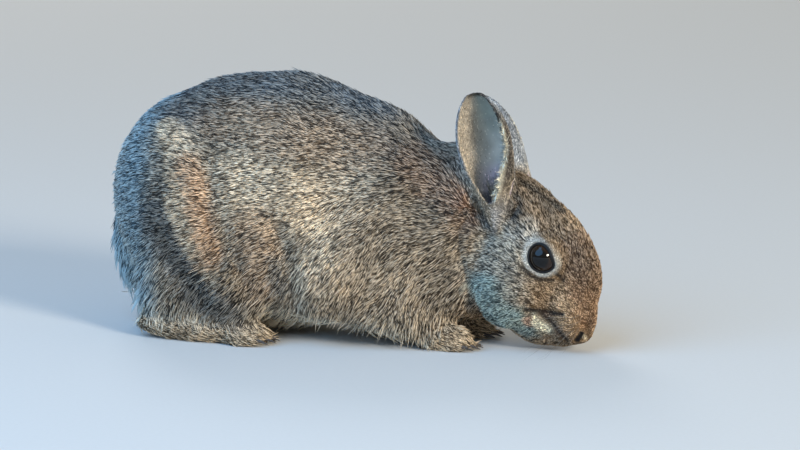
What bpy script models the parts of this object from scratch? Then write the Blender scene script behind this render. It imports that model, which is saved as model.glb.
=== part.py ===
"""A wild rabbit crouched to graze, life size, to the tips of its coat.

The body is laid up whole from rounded masses, made into one surface, and then parted
with thin cuts into head, neck, trunk, tail, legs and feet. Ears, eyes and claws are
made on their own. Lengths are in millimetres, +X is forward and +Y is the rabbit's left.
"""

import math

import bmesh
import bpy
from mathutils import Euler, Matrix, Vector

MM = 0.001
GAP = 0.3  # clear space between neighbouring solids
TRUNK_VOXEL = 3.5  # grain of the trunk while its masses are blended
TRUNK_PASSES = 22
VOXEL = 2.0  # grain of the whole surface before it is thinned out
SMOOTH_PASSES = 4
BODY_TRIANGLES = 3400  # of the whole surface, before it is parted


# Head
EYE_CENTRE = (114.4, 14.6, 53.8)  # left eye, the right one is its mirror image
EYE_RADIUS = 8.6
# Ears
EAR_ROOTS = {"right": (88, -13, 68), "left": (94, 13, 70)}
EAR_TIPS = {"right": (78, -27, 142.5), "left": (62.5, 27, 132.5)}
EAR_TURNS = {"right": 6, "left": 10}  # how far the opening turns forward from straight out
EAR_HALF_WIDTH = 13.4
EAR_ROOT_HALF_WIDTH = 8.0
EAR_WIDEST = 0.6  # share of the length where the ear is widest
EAR_THICK = 2.0
EAR_ROWS = 10
EAR_COLUMNS = 7
# Feet
CLAW_LENGTH = 7.5
CLAW_RADIUS = 1.15
CLAW_SINK = 2.5  # how deep a claw is set into its toe
CLAW_SIDES = 6

# Each mass: centre, half sizes along its own axes, pitch in degrees (nose down is positive),
# and yaw in degrees (front end towards the outside is positive).
# Masses off the middle plane are given for the left side and made twice.
TRUNK_MASSES = {
    "rump": ((-88, 0, 74), (53, 43, 57.5), 0, 0),
    "loin": ((-62, 0, 80.5), (57, 46, 63), 0, 0),
    "barrel": ((-35, 0, 77.5), (60, 52, 69.5), 9, 0),
    "belly": ((-42, 0, 45), (64, 49, 40), 0, 0),
    "withers": ((2, 0, 81), (60, 38, 51), 25, 0),
    "chest": ((20, 0, 60), (50, 40, 57), 10, 0),
    "brisket": ((32, 0, 35), (42, 34, 33), 0, 0),
    "neck": ((54, 0, 70), (36, 31, 42), 14, 0),
    "throat": ((72, 0, 42), (26, 24, 30), 20, 0),
}
TRUNK_SIDE_MASSES = {
    "thigh": ((-84, 31, 68), (45, 27, 58), -20, 12),
    "knee": ((-58, 41, 38), (27, 17, 29), -34, 0),
    "shank": ((-85, 38, 24), (32, 14, 18), -6, 8),
    "shoulder": ((22, 24, 74), (28, 16, 40), 30, 0),
    "upper arm": ((4, 33, 54), (24, 14, 38), 38, 0),
    "elbow": ((-4, 37, 36), (23, 13, 24), 20, 0),
    "forearm": ((28, 28, 20), (36, 11, 13), 12, -14),
}
DETAIL_MASSES = {
    "skull": ((98, 0, 67), (32, 21.5, 23), 58, 0),
    "forehead": ((113, 0, 64.5), (22, 13, 16.5), 60, 0),
    "bridge": ((119.5, 0, 50), (33, 14.5, 20), 66, 0),
    "muzzle": ((123, 0, 26), (23, 14, 15.5), 72, 0),
    "nose": ((130.5, 0, 13), (9, 7.5, 7), 76, 0),
    "chin": ((114, 0, 14.5), (17, 11, 11), 30, 0),
    "jaw": ((103, 0, 25.5), (26, 17, 19), 50, 0),
    "tail": ((-127, 0, 44), (15, 18, 30), -10, 0),
}
DETAIL_SIDE_MASSES = {
    "cheek": ((96, 13, 40), (23, 13, 28), 14, -8),
    "zygoma": ((108, 11, 52), (20, 11, 14), 60, -6),
    "lip": ((124.5, 6.5, 19.5), (15, 8.6, 11.5), 72, 0),
    "ear root": ((89, 11, 76), (10, 8, 15), 0, 0),
    "hind foot": ((-74, 41, 8), (40, 11, 9.5), 0, 0),
    "fore foot": ((58, 20, 7), (17, 9, 8.2), 0, -6),
}
TOES = {
    # foot: (x of the toe tips, y of the middle, spread between toes, radius, reach back)
    "hind": (-33, 42, 5.4, 3.9, 15),
    "fore": (76, 18.5, 4.4, 3.3, 11),
}

# Regions that part the body. An ellipsoid: centre, half sizes, pitch, yaw. A block: its two corners.
TAIL_REGION = ((-136, 0, 43), (20, 19, 31), -10, 0)
HAUNCH_REGION = ((-90, 62, 62), (56, 37, 62), -20, 0)
HIND_FOOT_REGION = ((-128, 28, -10), (-26, 58, 12.5))
FORE_FOOT_REGION = ((66, 19.5, 3), (22, 14, 12), 0, 0)
ARM_REGION = ((6, 62, 50), (34, 34, 52), 30, 0)
HEAD_PLANE = ((75, 0, 58), 10)  # a point of the cut behind the head, and its lean in degrees
NECK_PLANE = ((43, 0, 60), -6)
CUT_REACH = 200.0

# Last correction of the outline of the back: how far it is raised at each place along the body.
BACK_LIFTS = (
    (-136, 0.0), (-112, 2.0), (-100, 1.9), (-88, 1.3), (-74, 0.1), (-58, 0.8), (-44, 0.2), (-30, -0.8),
    (-18, -2.0), (-8, -1.2), (4, 1.0), (14, 1.6), (30, 2.0), (44, 0.5), (56, 0.0),
)
BACK_LOW, BACK_HIGH = 60, 105  # heights where the correction begins and where it is whole

PARTS = bpy.data.collections.new("rabbit")
HELPERS = bpy.data.collections.new("helpers")


def clear_scene():
    for obj in list(bpy.data.objects):
        bpy.data.objects.remove(obj)
    for collection in (PARTS, HELPERS):
        bpy.context.scene.collection.children.link(collection)
    HELPERS.hide_render = True


def material(name, colour, roughness):
    made = bpy.data.materials.new(name)
    made.use_nodes = True
    shader = made.node_tree.nodes["Principled BSDF"]
    shader.inputs["Base Color"].default_value = (*colour, 1.0)
    shader.inputs["Roughness"].default_value = roughness
    made.diffuse_color = (*colour, 1.0)
    return made


def new_object(name, mesh, collection):
    obj = bpy.data.objects.new(name, mesh)
    collection.objects.link(obj)
    if collection is HELPERS:
        obj.hide_render = True
        obj.display_type = "WIRE"
    return obj


def mesh_from(build, name):
    """A mesh in metres from a function that fills a bmesh in millimetres."""
    work = bmesh.new()
    build(work)
    bmesh.ops.scale(work, vec=(MM, MM, MM), verts=work.verts)
    mesh = bpy.data.meshes.new(name)
    work.to_mesh(mesh)
    work.free()
    return mesh


def placed(centre, half, pitch=0.0, yaw=0.0):
    """Scale, then pitch about Y, then yaw about Z, then move."""
    turn = Euler((0, math.radians(pitch), math.radians(yaw)), "XYZ").to_matrix().to_4x4()
    size = Matrix.Diagonal((*half, 1.0))
    return Matrix.Translation(centre) @ turn @ size


def ball(work, centre, half, pitch=0.0, yaw=0.0, around=32, rows=18):
    """A rounded mass: a sphere scaled to its half sizes."""
    bmesh.ops.create_uvsphere(
        work, u_segments=around, v_segments=rows, radius=1.0, matrix=placed(centre, half, pitch, yaw)
    )


def mirrored(centre, side):
    return (centre[0], centre[1] * side, centre[2])


def toe_places(foot, side):
    """Middle of each toe of one foot, from the outside in."""
    tip, y_mid, spread, radius, reach = TOES[foot]
    for index in range(4):
        across = index - 1.5
        back = 1.1 * across * across
        yield Vector((tip - radius - back, side * (y_mid + spread * across), radius - 0.6))


def trunk_masses(work):
    add_masses(work, TRUNK_MASSES, TRUNK_SIDE_MASSES)


def detail_masses(work):
    add_masses(work, DETAIL_MASSES, DETAIL_SIDE_MASSES)
    for side in (-1, 1):
        for foot, (_, _, _, radius, reach) in TOES.items():
            for place in toe_places(foot, side):
                ball(work, place - Vector((reach / 2, 0, 0)), (reach / 2 + radius, radius, radius), -4)


def add_masses(work, middle, sides):
    for centre, half, pitch, yaw in middle.values():
        ball(work, centre, half, pitch, yaw)
    for side in (-1, 1):
        for centre, half, pitch, yaw in sides.values():
            ball(work, mirrored(centre, side), half, pitch, side * yaw)


def evaluated_mesh(obj, name):
    graph = bpy.context.evaluated_depsgraph_get()
    mesh = bpy.data.meshes.new_from_object(obj.evaluated_get(graph), depsgraph=graph)
    mesh.name = name
    return mesh


def softened(mesh, voxel, passes, name):
    """The mesh as one closed surface of even grain, smoothed."""
    obj = new_object(name, mesh, HELPERS)
    remesh = obj.modifiers.new("one surface", "REMESH")
    remesh.mode = "VOXEL"
    remesh.voxel_size = voxel * MM
    smooth = obj.modifiers.new("soften", "SMOOTH")
    smooth.factor = 0.5
    smooth.iterations = passes
    made = evaluated_mesh(obj, name)
    bpy.data.objects.remove(obj)
    return made


def whole_body():
    """The trunk smoothed broadly, then with head and feet added and smoothed lightly."""
    work = bmesh.new()
    work.from_mesh(softened(mesh_from(trunk_masses, "trunk masses"), TRUNK_VOXEL, TRUNK_PASSES, "trunk"))
    work.from_mesh(mesh_from(detail_masses, "detail masses"))
    both = bpy.data.meshes.new("both")
    work.to_mesh(both)
    work.free()
    fine = softened(both, VOXEL, SMOOTH_PASSES, "fine")
    raise_back(fine)
    faces = sum(len(face.vertices) - 2 for face in fine.polygons)
    obj = new_object("whole", fine, HELPERS)
    thin = obj.modifiers.new("thin out", "DECIMATE")
    thin.ratio = BODY_TRIANGLES / faces
    mesh = evaluated_mesh(obj, "whole body")
    cut_below_floor(mesh)
    bpy.data.objects.remove(obj)
    return new_object("whole", mesh, HELPERS)


def back_lift(x):
    """How far the back is raised at x."""
    for (start, low), (end, high) in zip(BACK_LIFTS, BACK_LIFTS[1:]):
        if start <= x <= end:
            share = (x - start) / (end - start)
            return low + (high - low) * share * share * (3 - 2 * share)
    return 0.0


def raise_back(mesh):
    for vertex in mesh.vertices:
        share = (vertex.co.z / MM - BACK_LOW) / (BACK_HIGH - BACK_LOW)
        vertex.co.z += back_lift(vertex.co.x / MM) * MM * min(1.0, max(0.0, share))


def cut_below_floor(mesh):
    work = bmesh.new()
    work.from_mesh(mesh)
    everything = work.verts[:] + work.edges[:] + work.faces[:]
    cut = bmesh.ops.bisect_plane(
        work, geom=everything, plane_co=(0, 0, 0), plane_no=(0, 0, -1), clear_outer=True
    )
    edges = [item for item in cut["geom_cut"] if isinstance(item, bmesh.types.BMEdge)]
    bmesh.ops.holes_fill(work, edges=edges)
    bmesh.ops.triangulate(work, faces=work.faces[:])
    bmesh.ops.recalc_face_normals(work, faces=work.faces[:])
    work.to_mesh(mesh)
    work.free()


def boolean(obj, cutter, operation, name):
    """A new object: obj with the cutter taken away from it, or only what lies in the cutter."""
    modifier = obj.modifiers.new("cut", "BOOLEAN")
    modifier.operation = operation
    modifier.solver = "EXACT"
    modifier.object = cutter
    mesh = evaluated_mesh(obj, name)
    obj.modifiers.remove(modifier)
    keep_largest(mesh)
    return new_object(name, mesh, HELPERS)


def linked_from(start, met):
    """All the vertices joined by edges to start."""
    found, waiting = [], [start]
    met.add(start)
    while waiting:
        vertex = waiting.pop()
        found.append(vertex)
        for edge in vertex.link_edges:
            other = edge.other_vert(vertex)
            if other not in met:
                met.add(other)
                waiting.append(other)
    return found


def keep_largest(mesh):
    """Drops the slivers that a cut can leave beside the solid itself."""
    work = bmesh.new()
    work.from_mesh(mesh)
    met = set()
    islands = [linked_from(vertex, met) for vertex in work.verts if vertex not in met]
    islands.sort(key=len)
    for island in islands[:-1]:
        bmesh.ops.delete(work, geom=island, context="VERTS")
    work.to_mesh(mesh)
    work.free()


def parted(body, name, region):
    """Splits body in two: the piece inside the region, and the rest, GAP apart."""
    inner = new_object(name + " region", mesh_from(lambda work: region(work, 0.0), name), HELPERS)
    outer = new_object(name + " clearance", mesh_from(lambda work: region(work, GAP), name), HELPERS)
    piece = boolean(body, inner, "INTERSECT", name)
    rest = boolean(body, outer, "DIFFERENCE", "rest")
    return piece, rest


def ellipsoid_region(centre, half, pitch=0.0, yaw=0.0):
    def region(work, grow):
        ball(work, centre, [size + grow for size in half], pitch, yaw, around=16, rows=9)

    return region


def block_region(low, high):
    middle = [(a + b) / 2 for a, b in zip(low, high)]

    def region(work, grow):
        size = [b - a + 2 * grow for a, b in zip(low, high)]
        bmesh.ops.create_cube(work, size=1.0, matrix=placed(middle, size))

    return region


def ahead_region(point, lean):
    """All that lies ahead of a plane through the point, leaning forward at the top."""
    turn = Matrix.Rotation(math.radians(lean), 4, "Y")

    def region(work, grow):
        block = Matrix.Translation((CUT_REACH / 2 - grow, 0, 0)) @ Matrix.Scale(CUT_REACH, 4)
        bmesh.ops.create_cube(work, size=1.0, matrix=Matrix.Translation(point) @ turn @ block)

    return region


def side_ellipsoid(shape, side):
    centre, half, pitch, yaw = shape
    return ellipsoid_region(mirrored(centre, side), half, pitch, yaw * side)


def side_block(corners, side):
    (x0, y0, z0), (x1, y1, z1) = corners
    across = sorted((y0 * side, y1 * side))
    return block_region((x0, across[0], z0), (x1, across[1], z1))


def ear_frame(side, tip, turn):
    """Axes of one ear: up along it, across it, and out of its opening."""
    up = Vector(tip).normalized()
    opening = Vector((math.sin(turn), side * math.cos(turn), 0.0))
    opening = (opening - up * opening.dot(up)).normalized()
    across = up.cross(opening)
    return up, across, opening


def ear_half_width(along):
    """Half of the ear's open width at a share of its length."""
    rise = math.sin(min(along / EAR_WIDEST, 1.0) * math.pi / 2) ** 1.6
    swell = EAR_ROOT_HALF_WIDTH + (EAR_HALF_WIDTH - EAR_ROOT_HALF_WIDTH) * rise
    close = max(0.0, (along - EAR_WIDEST) / (1 - EAR_WIDEST))
    return swell * max(0.0, 1.0 - close**1.9) ** 0.62 + 0.5


def ear_curl(along):
    """Half of the angle that the ear's cross-section goes through, in radians."""
    unrolled = min(1.0, max(0.0, along - 0.2) / 0.4) ** 0.8
    return math.radians(174 - 58 * unrolled - 70 * max(0.0, along - 0.65))


def ear_solid(name, side, root, tip, turn):
    up, across, opening = ear_frame(side, Vector(tip) - Vector(root), turn)
    length = (Vector(tip) - Vector(root)).length

    def build(work):
        rows = []
        for row in range(EAR_ROWS + 1):
            along = row / EAR_ROWS
            half, curl = ear_half_width(along), ear_curl(along)
            radius = half / math.sin(min(curl, math.pi / 2))
            spine = Vector(root) + up * (length * along) - opening * (3.0 * math.sin(math.pi * along))
            ring = []
            for column in range(EAR_COLUMNS + 1):
                angle = curl * (2 * column / EAR_COLUMNS - 1)
                offset = across * (radius * math.sin(angle)) - opening * (radius * math.cos(angle))
                ring.append(work.verts.new(spine + offset))
            rows.append(ring)
        for low, high in zip(rows, rows[1:]):
            for index in range(EAR_COLUMNS):
                work.faces.new((low[index], low[index + 1], high[index + 1], high[index]))
        bmesh.ops.recalc_face_normals(work, faces=work.faces[:])

    sheet = new_object(name + " sheet", mesh_from(build, name), HELPERS)
    solid = sheet.modifiers.new("thickness", "SOLIDIFY")
    solid.thickness = EAR_THICK * MM
    solid.offset = 0.0
    solid.use_even_offset = True
    mesh = evaluated_mesh(sheet, name)
    bpy.data.objects.remove(sheet)
    return new_object(name, mesh, HELPERS)


def inflated(obj, amount):
    """A copy of obj with its surface moved outwards."""
    copy = new_object(obj.name + " inflated", obj.data.copy(), HELPERS)
    grow = copy.modifiers.new("grow", "DISPLACE")
    grow.strength = amount * MM
    grow.mid_level = 0.0
    mesh = evaluated_mesh(copy, copy.name)
    bpy.data.objects.remove(copy)
    return new_object(obj.name + " inflated", mesh, HELPERS)


def eye_ball(side, grow):
    centre = mirrored(EYE_CENTRE, side)
    size = (EYE_RADIUS + grow,) * 3
    return lambda work: ball(work, centre, size, around=16, rows=9)


def claw(place, yaw):
    """A tapering claw that leaves the toe at place and bends down towards the floor."""

    def build(work):
        steps = 4
        turn = Matrix.Rotation(yaw, 3, "Z")
        rings = []
        for step in range(steps):
            along = step / steps
            centre = Vector((CLAW_LENGTH * along, 0, -1.6 * along**2))
            radius = CLAW_RADIUS * (1.0 - along) ** 0.6
            ring = []
            for index in range(CLAW_SIDES):
                angle = index * 2 * math.pi / CLAW_SIDES
                rim = Vector((0, 0.75 * radius * math.cos(angle), radius * math.sin(angle)))
                ring.append(work.verts.new(place + turn @ (centre + rim)))
            rings.append(ring)
        tip = work.verts.new(place + turn @ Vector((CLAW_LENGTH, 0, -1.8)))
        for low, high in zip(rings, rings[1:]):
            for index in range(CLAW_SIDES):
                after = (index + 1) % CLAW_SIDES
                work.faces.new((low[index], low[after], high[after], high[index]))
        for index in range(CLAW_SIDES):
            work.faces.new((rings[-1][index], rings[-1][(index + 1) % CLAW_SIDES], tip))
        work.faces.new(rings[0])
        bmesh.ops.recalc_face_normals(work, faces=work.faces[:])

    return build


def with_claws(foot, side, holder):
    """The foot with its four claws grown out of the toes."""
    radius = TOES[foot][3]
    for index, place in enumerate(toe_places(foot, side)):
        root = place + Vector((radius - CLAW_SINK, 0, 0.4))
        yaw = side * math.radians(5.0) * (index - 1.5)
        made = new_object("claw", mesh_from(claw(root, yaw), "claw"), HELPERS)
        holder = boolean(holder, made, "UNION", holder.name)
    return holder


def finish(obj, name, looks):
    """Moves a solid to the finished parts, with clean faces and its own material."""
    work = bmesh.new()
    work.from_mesh(obj.data)
    bmesh.ops.remove_doubles(work, verts=work.verts, dist=1e-6)
    bmesh.ops.recalc_face_normals(work, faces=work.faces[:])
    work.to_mesh(obj.data)
    work.free()
    obj.data.materials.clear()
    obj.data.materials.append(looks)
    for collection in list(obj.users_collection):
        collection.objects.unlink(obj)
    PARTS.objects.link(obj)
    obj["part"] = name
    obj.hide_render = False
    obj.display_type = "TEXTURED"
    return obj


def build():
    clear_scene()
    coat = material("coat", (0.30, 0.24, 0.18), 0.85)
    ear_coat = material("ear_coat", (0.42, 0.34, 0.29), 0.8)
    tail_coat = material("tail_coat", (0.75, 0.72, 0.68), 0.85)
    eye_gloss = material("eye_gloss", (0.02, 0.012, 0.008), 0.05)
    body = whole_body()
    for side, tag in ((-1, "right"), (1, "left")):
        ear = ear_solid("ear_" + tag, side, EAR_ROOTS[tag], EAR_TIPS[tag], math.radians(EAR_TURNS[tag]))
        clear_of_head = boolean(ear, inflated(body, GAP), "DIFFERENCE", "ear_" + tag)
        finish(clear_of_head, "ear_" + tag, ear_coat)
    tail, body = parted(body, "tail", ellipsoid_region(*TAIL_REGION))
    finish(tail, "tail", tail_coat)
    for side, tag in ((-1, "right"), (1, "left")):
        foot, body = parted(body, "hind_foot_" + tag, side_block(HIND_FOOT_REGION, side))
        haunch, body = parted(body, "haunch_" + tag, side_ellipsoid(HAUNCH_REGION, side))
        paw, body = parted(body, "fore_foot_" + tag, side_ellipsoid(FORE_FOOT_REGION, side))
        arm, body = parted(body, "foreleg_" + tag, side_ellipsoid(ARM_REGION, side))
        finish(with_claws("hind", side, foot), "hind_foot_" + tag, coat)
        finish(with_claws("fore", side, paw), "fore_foot_" + tag, coat)
        finish(haunch, "haunch_" + tag, coat)
        finish(arm, "foreleg_" + tag, coat)
    head, body = parted(body, "head", ahead_region(*HEAD_PLANE))
    neck, trunk = parted(body, "neck", ahead_region(*NECK_PLANE))
    finish(neck, "neck", coat)
    finish(trunk, "trunk", coat)
    for side, tag in ((-1, "right"), (1, "left")):
        socket = new_object("socket", mesh_from(eye_ball(side, GAP), "socket"), HELPERS)
        head = boolean(head, socket, "DIFFERENCE", "head")
        eye = new_object("eye_" + tag, mesh_from(eye_ball(side, 0.0), "eye_" + tag), HELPERS)
        finish(eye, "eye_" + tag, eye_gloss)
    finish(head, "head", coat)
    discard_helpers()
    centre_over_origin()


def discard_helpers():
    """Takes away the masses and cutters, whose work is done, and gives each solid its plain name."""
    for obj in list(HELPERS.objects):
        bpy.data.objects.remove(obj)
    bpy.data.collections.remove(HELPERS)
    for obj in PARTS.objects:
        obj.name = obj.data.name = obj["part"]


def centre_over_origin():
    """Moves everything so that the bounding box stands on the floor round the origin."""
    bpy.context.view_layer.update()
    points = [vertex.co for obj in PARTS.objects for vertex in obj.data.vertices]
    low = Vector(min(point[axis] for point in points) for axis in range(3))
    high = Vector(max(point[axis] for point in points) for axis in range(3))
    shift = Matrix.Translation((-(low.x + high.x) / 2, -(low.y + high.y) / 2, -low.z))
    for obj in PARTS.objects:
        obj.data.transform(shift)


build()
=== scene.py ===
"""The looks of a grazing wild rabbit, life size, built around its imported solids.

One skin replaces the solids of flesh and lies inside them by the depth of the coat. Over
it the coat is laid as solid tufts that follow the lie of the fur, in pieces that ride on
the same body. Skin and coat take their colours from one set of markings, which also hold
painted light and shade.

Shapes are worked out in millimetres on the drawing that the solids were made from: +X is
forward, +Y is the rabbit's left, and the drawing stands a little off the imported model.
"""

import itertools
import math

import bmesh
import bpy
import numpy as np
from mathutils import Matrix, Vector
from mathutils.bvhtree import BVHTree
from mathutils.kdtree import KDTree


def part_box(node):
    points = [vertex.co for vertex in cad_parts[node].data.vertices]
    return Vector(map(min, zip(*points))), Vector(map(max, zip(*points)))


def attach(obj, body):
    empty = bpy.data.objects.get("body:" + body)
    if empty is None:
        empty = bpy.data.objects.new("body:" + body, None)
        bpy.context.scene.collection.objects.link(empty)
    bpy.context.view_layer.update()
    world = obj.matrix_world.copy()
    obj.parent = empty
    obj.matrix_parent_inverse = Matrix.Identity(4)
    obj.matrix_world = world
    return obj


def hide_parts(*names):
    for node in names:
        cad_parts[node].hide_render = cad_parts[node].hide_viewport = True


MM = 0.001
SIDES = {"right": -1, "left": 1}

# --- Landmarks on the drawing, for the left side where there are two
EYE = np.array((114.4, 14.6, 53.8))
EYE_RADIUS = 8.6
EYE_LOOK = (-0.03, 0.99, -0.05)  # the way the left eye faces
EYE_CORNER = (0.86, 0.0, -0.5)  # from the eye to its front corner
EYE_OVAL = (7.05, 0.6, 0.82)  # mean radius between the lids, how much it varies, turn of its short way
LID_CORNERS = (0.6, 0.2)  # how far the opening is drawn out at its front and its rear corner
CORNEA_RISE = 0.35  # how far the clear front stands out from the ball
NOSE = np.array((137.5, 0.0, 13.0))
CROWN = np.array((90.0, 0.0, 80.0))
BODY_AXIS_HEIGHT = 72.0
EAR_ROOTS = {"right": (88, -13, 68), "left": (94, 13, 70)}
EAR_TIPS = {"right": (78, -27, 142.5), "left": (62.5, 27, 132.5)}
EAR_TURNS = {"right": 6, "left": 10}  # how far the opening turns forward from straight out
EAR_HALF_WIDTH = 13.4
EAR_ROOT_HALF_WIDTH = 8.0
EAR_WIDEST = 0.6
EAR_BOW = 3.0
EAR_NOTCH = 0.2  # share of the length up to which the ear is a closed tube
EAR_FLOOR = 0.12  # how far down its hollow goes
EAR_DEEP = 0.5  # and up to where the hollow is opened
TOES = {
    # foot: x of the toe tips, y of the middle, spread between toes, radius
    "hind": (-33, 42, 5.4, 3.9),
    "fore": (76, 18.5, 4.4, 3.3),
}
CLAW_LENGTH = 7.5
CLAW_RADIUS = 1.15
CLAW_SINK = 2.5
CLAW_DROOP = 1.6
CLAW_RISE = 0.4  # its root over the middle of the toe's round end
TOE_STAGGER = 1.1  # how much further back the outer toes are
TOE_FLAT = 0.6  # how much lower the middle of a toe is than its radius
TOE_SPLAY = 5.0  # degrees between the claws of a foot
WHISKER_ROWS = 3
WHISKERS_IN_A_ROW = 4
WHISKER_FIRST = (133.5, 13.2, 22.5)  # root of the foremost one in the top row
WHISKER_LENGTH = 18.0
WHISKER_RADIUS = 0.10
WHISKER_DROOP = (-4, 0, -5)
NOSTRIL = ((133.6, 10.6, 11.8), (132.4, 10.6, 9.6), (130.6, 8.8, 7.6))
MOUTH = ((105.5, 21.0, 24.6), (111.3, 17.6, 24.0), (117.0, 14.4, 22.8), (124.5, 14.4, 22.4))
LIP = ((112.6, 16.2, 22.4), (117.6, 13.6, 18.0), (122.6, 13.0, 12.4), (126.0, 12.0, 7.6))
LOWER_LID_FOLD = ((104.0, 23.8, 48.0), (108.5, 22.4, 43.6), (113.7, 19.9, 41.3), (119.5, 16.4, 40.8))
CORNER_FOLD = ((121.4, 15.8, 45.0), (124.8, 13.8, 40.4))
EAR_FRONT_CREASE = ((98.2, 14.0, 91.0), (98.4, 16.8, 85.6), (100.6, 17.8, 81.6), (98.0, 20.0, 75.0))
EAR_REAR_CREASE = ((78.0, 17.6, 89.0), (77.8, 20.6, 82.0), (79.6, 22.0, 74.0), (84.6, 22.0, 68.0))
CROWN_FOLD = ((99.0, 7.6, 92.6), (109.0, 6.6, 87.0), (115.0, 4.4, 82.7), (122.5, 4.1, 77.1))
CHEEK_CREASE = (
    (75.5, 22.5, 75.0), (71.2, 26.0, 67.0), (70.4, 25.0, 56.0), (73.4, 23.0, 37.0), (75.6, 15.0, 20.0),
)

# Lines pressed into the face: path, half width, depth, how bare of tufts they are
FACE_FOLDS = (
    (NOSTRIL, 1.0, 2.4, 1.0),
    (MOUTH, 0.9, 2.2, 0.8),
    (LIP, 0.9, 1.2, 0.5),
    (LOWER_LID_FOLD, 1.0, 1.0, 0.6),
    (CORNER_FOLD, 0.8, 0.8, 0.6),
)
FACE_LINES = tuple(fold[0] for fold in FACE_FOLDS)

# Furrows of the body under its coat: path, half width, depth
BODY_FOLDS = (
    (((-64, 52, 104), (-60, 55, 84), (-54, 55, 66), (-48, 54, 48), (-41, 50, 30)), 6.0, 3.2),
    (((-26, 47, 66), (-21, 47, 48), (-17, 45, 26)), 5.5, 3.0),
    (CHEEK_CREASE, 3.6, 3.2),
    (EAR_FRONT_CREASE, 2.2, 2.6),
    (EAR_REAR_CREASE, 2.4, 3.2),
    (CROWN_FOLD, 1.6, 0.9),
    (((-98, 50, 52), (-80, 55, 38), (-66, 55, 28)), 9.0, 3.0),
)

# --- The skin
SKIN_VOXEL = 1.35
CUT_OVERLAP = 0.25  # each solid grows by this, so that the thin cuts between them close
SKIN_ROUNDS = 14
BODY_ROUNDS = 150
REGION_ROUNDS = 26  # how far each region of the coat goes over into the next
EAR_SIDE_ROUNDS = 30
LIE_ROUNDS = 8
FINE_ROUND_EYE = 15.0  # the skin has a finer grain this near to an eye
FINE_ROUND_NOSE = 16.0
EAR_CORE_THICK = 2.5  # an ear while the flesh is made one
EAR_SKIN_THICK = 1.3
EAR_SKIN_REACH = 0.975
LID_CREST = 0.75  # how far the skin's edge stands over the ball
LID_BEHIND = 1.6  # and how far under it the skin goes inside the opening
SNOUT_COAT_LESS = 2.0  # how much thinner the coat is at the nose than on the head

# Height over the floor below which nothing of each reaches
SKIN_LOWEST = 0.4
TUFT_LOWEST = 0.15
CLAW_LOWEST = 0.1
WHISKER_LOWEST = 0.4

# --- The coat
COAT = {
    # region: depth, length of a tuft, its rise in degrees, its width, tufts to a square millimetre
    "trunk": (1.7, 4.3, 18, 0.38, 3.0),
    "haunch": (1.8, 4.3, 18, 0.37, 3.1),
    "neck": (1.9, 4.3, 19, 0.36, 3.1),
    "foreleg": (1.8, 4.0, 18, 0.36, 3.2),
    "head": (1.4, 2.9, 17, 0.28, 5.2),
    "ear": (0.3, 1.6, 9, 0.21, 4.2),
    "tail": (2.6, 5.2, 13, 0.42, 3.4),
    "hind_foot": (0.9, 2.8, 11, 0.32, 3.6),
    "fore_foot": (0.9, 2.6, 11, 0.30, 4.0),
}
DEPTH, LENGTH, RISE, WIDTH, CLOSENESS = range(5)
REGIONS = tuple(COAT)
BODY = ("trunk", "haunch", "neck", "foreleg")
TUFT_SINK = 0.4  # how far under the skin a tuft starts
TUFTS_IN_A_LOCK = 9
LOCK_REACH = 4.0
TIP_PULL, MIDDLE_PULL = 0.15, 0.05  # towards the tip of the lock
GUARD_SHARE = 0.04  # share of the tufts that are long, fine and pale
GUARD_LENGTH, GUARD_LENGTH_LOW = 1.6, 0.9  # times a tuft's length, and as much more low on the body
GUARD_WIDTH = 0.55
BY_EAR_LENGTH = 2.4  # a tuft's length at most in the creases round the ears
COAT_SEED = 7
WHISKER_SEED = 3

# --- Camera, lights and floor, in metres and degrees
CAMERA_AZIMUTH = 20.0
CAMERA_ELEVATION = 10.0
CAMERA_DISTANCE = 2.444
CAMERA_LENS = 200.0
AIM_ACROSS = 0.0253
AIM_UP = 0.0605
FLOOR_SIZE = 12.0
FLOOR_COLOURS = ((0.66, 0.66, 0.65), (0.69, 0.69, 0.68))
ROOM_COLOUR = (1.0, 0.98, 0.88)
ROOM_STRENGTH = 0.32
LIT_PLACE = (0.02, 0.0, 0.06)
LIGHTS = (
    # name, place, size, power, colour
    ("key", (2.6, -1.65, 1.2), 0.8, 95.0, (1.0, 0.93, 0.80)),
    ("sky", (-0.5, -1.0, 1.0), 1.75, 24.0, (0.20, 0.50, 0.92)),
    ("back", (-1.6, 2.2, 1.9), 1.4, 25.0, (0.92, 0.95, 1.0)),
)


# ---------------------------------------------------------------- small helpers


def smooth_step(low, high, value):
    """0 below low and 1 above high, or the other way round where low is the greater."""
    share = np.clip((value - low) / (high - low), 0.0, 1.0)
    return share * share * (3.0 - 2.0 * share)


def unit(vectors):
    return vectors / np.maximum(np.linalg.norm(vectors, axis=-1, keepdims=True), 1e-9)


def flat_to(vectors, normals):
    """The part of each vector that lies along the surface."""
    return vectors - normals * np.sum(vectors * normals, axis=1, keepdims=True)


def lay(under, over, strength):
    """One colour or direction over another, as strongly as strength says at each point."""
    return under + (over - under) * strength[:, None]


def linear(red, green, blue):
    """A colour in display values from 0 to 255 as the light it stands for."""
    display = np.array((red, green, blue)) / 255.0
    return np.where(display <= 0.04045, display / 12.92, ((display + 0.055) / 1.055) ** 2.4)


def ripple(points, grain, seed, waves=14):
    """A smooth random field over space from about -1 to 1, with features about grain across."""
    chance = np.random.default_rng(seed)
    turns = unit(chance.normal(size=(waves, 3))) * chance.uniform(0.6, 1.5, (waves, 1)) / grain
    starts = chance.uniform(0, 2 * math.pi, waves)
    return np.cos(points @ turns.T * math.pi + starts).sum(axis=1) / math.sqrt(waves)


def folded(points):
    """Both sides of the body brought to the left one, for marks that are the same on both."""
    return points * (1, 0, 1) + np.abs(points) * (0, 1, 0)


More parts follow.
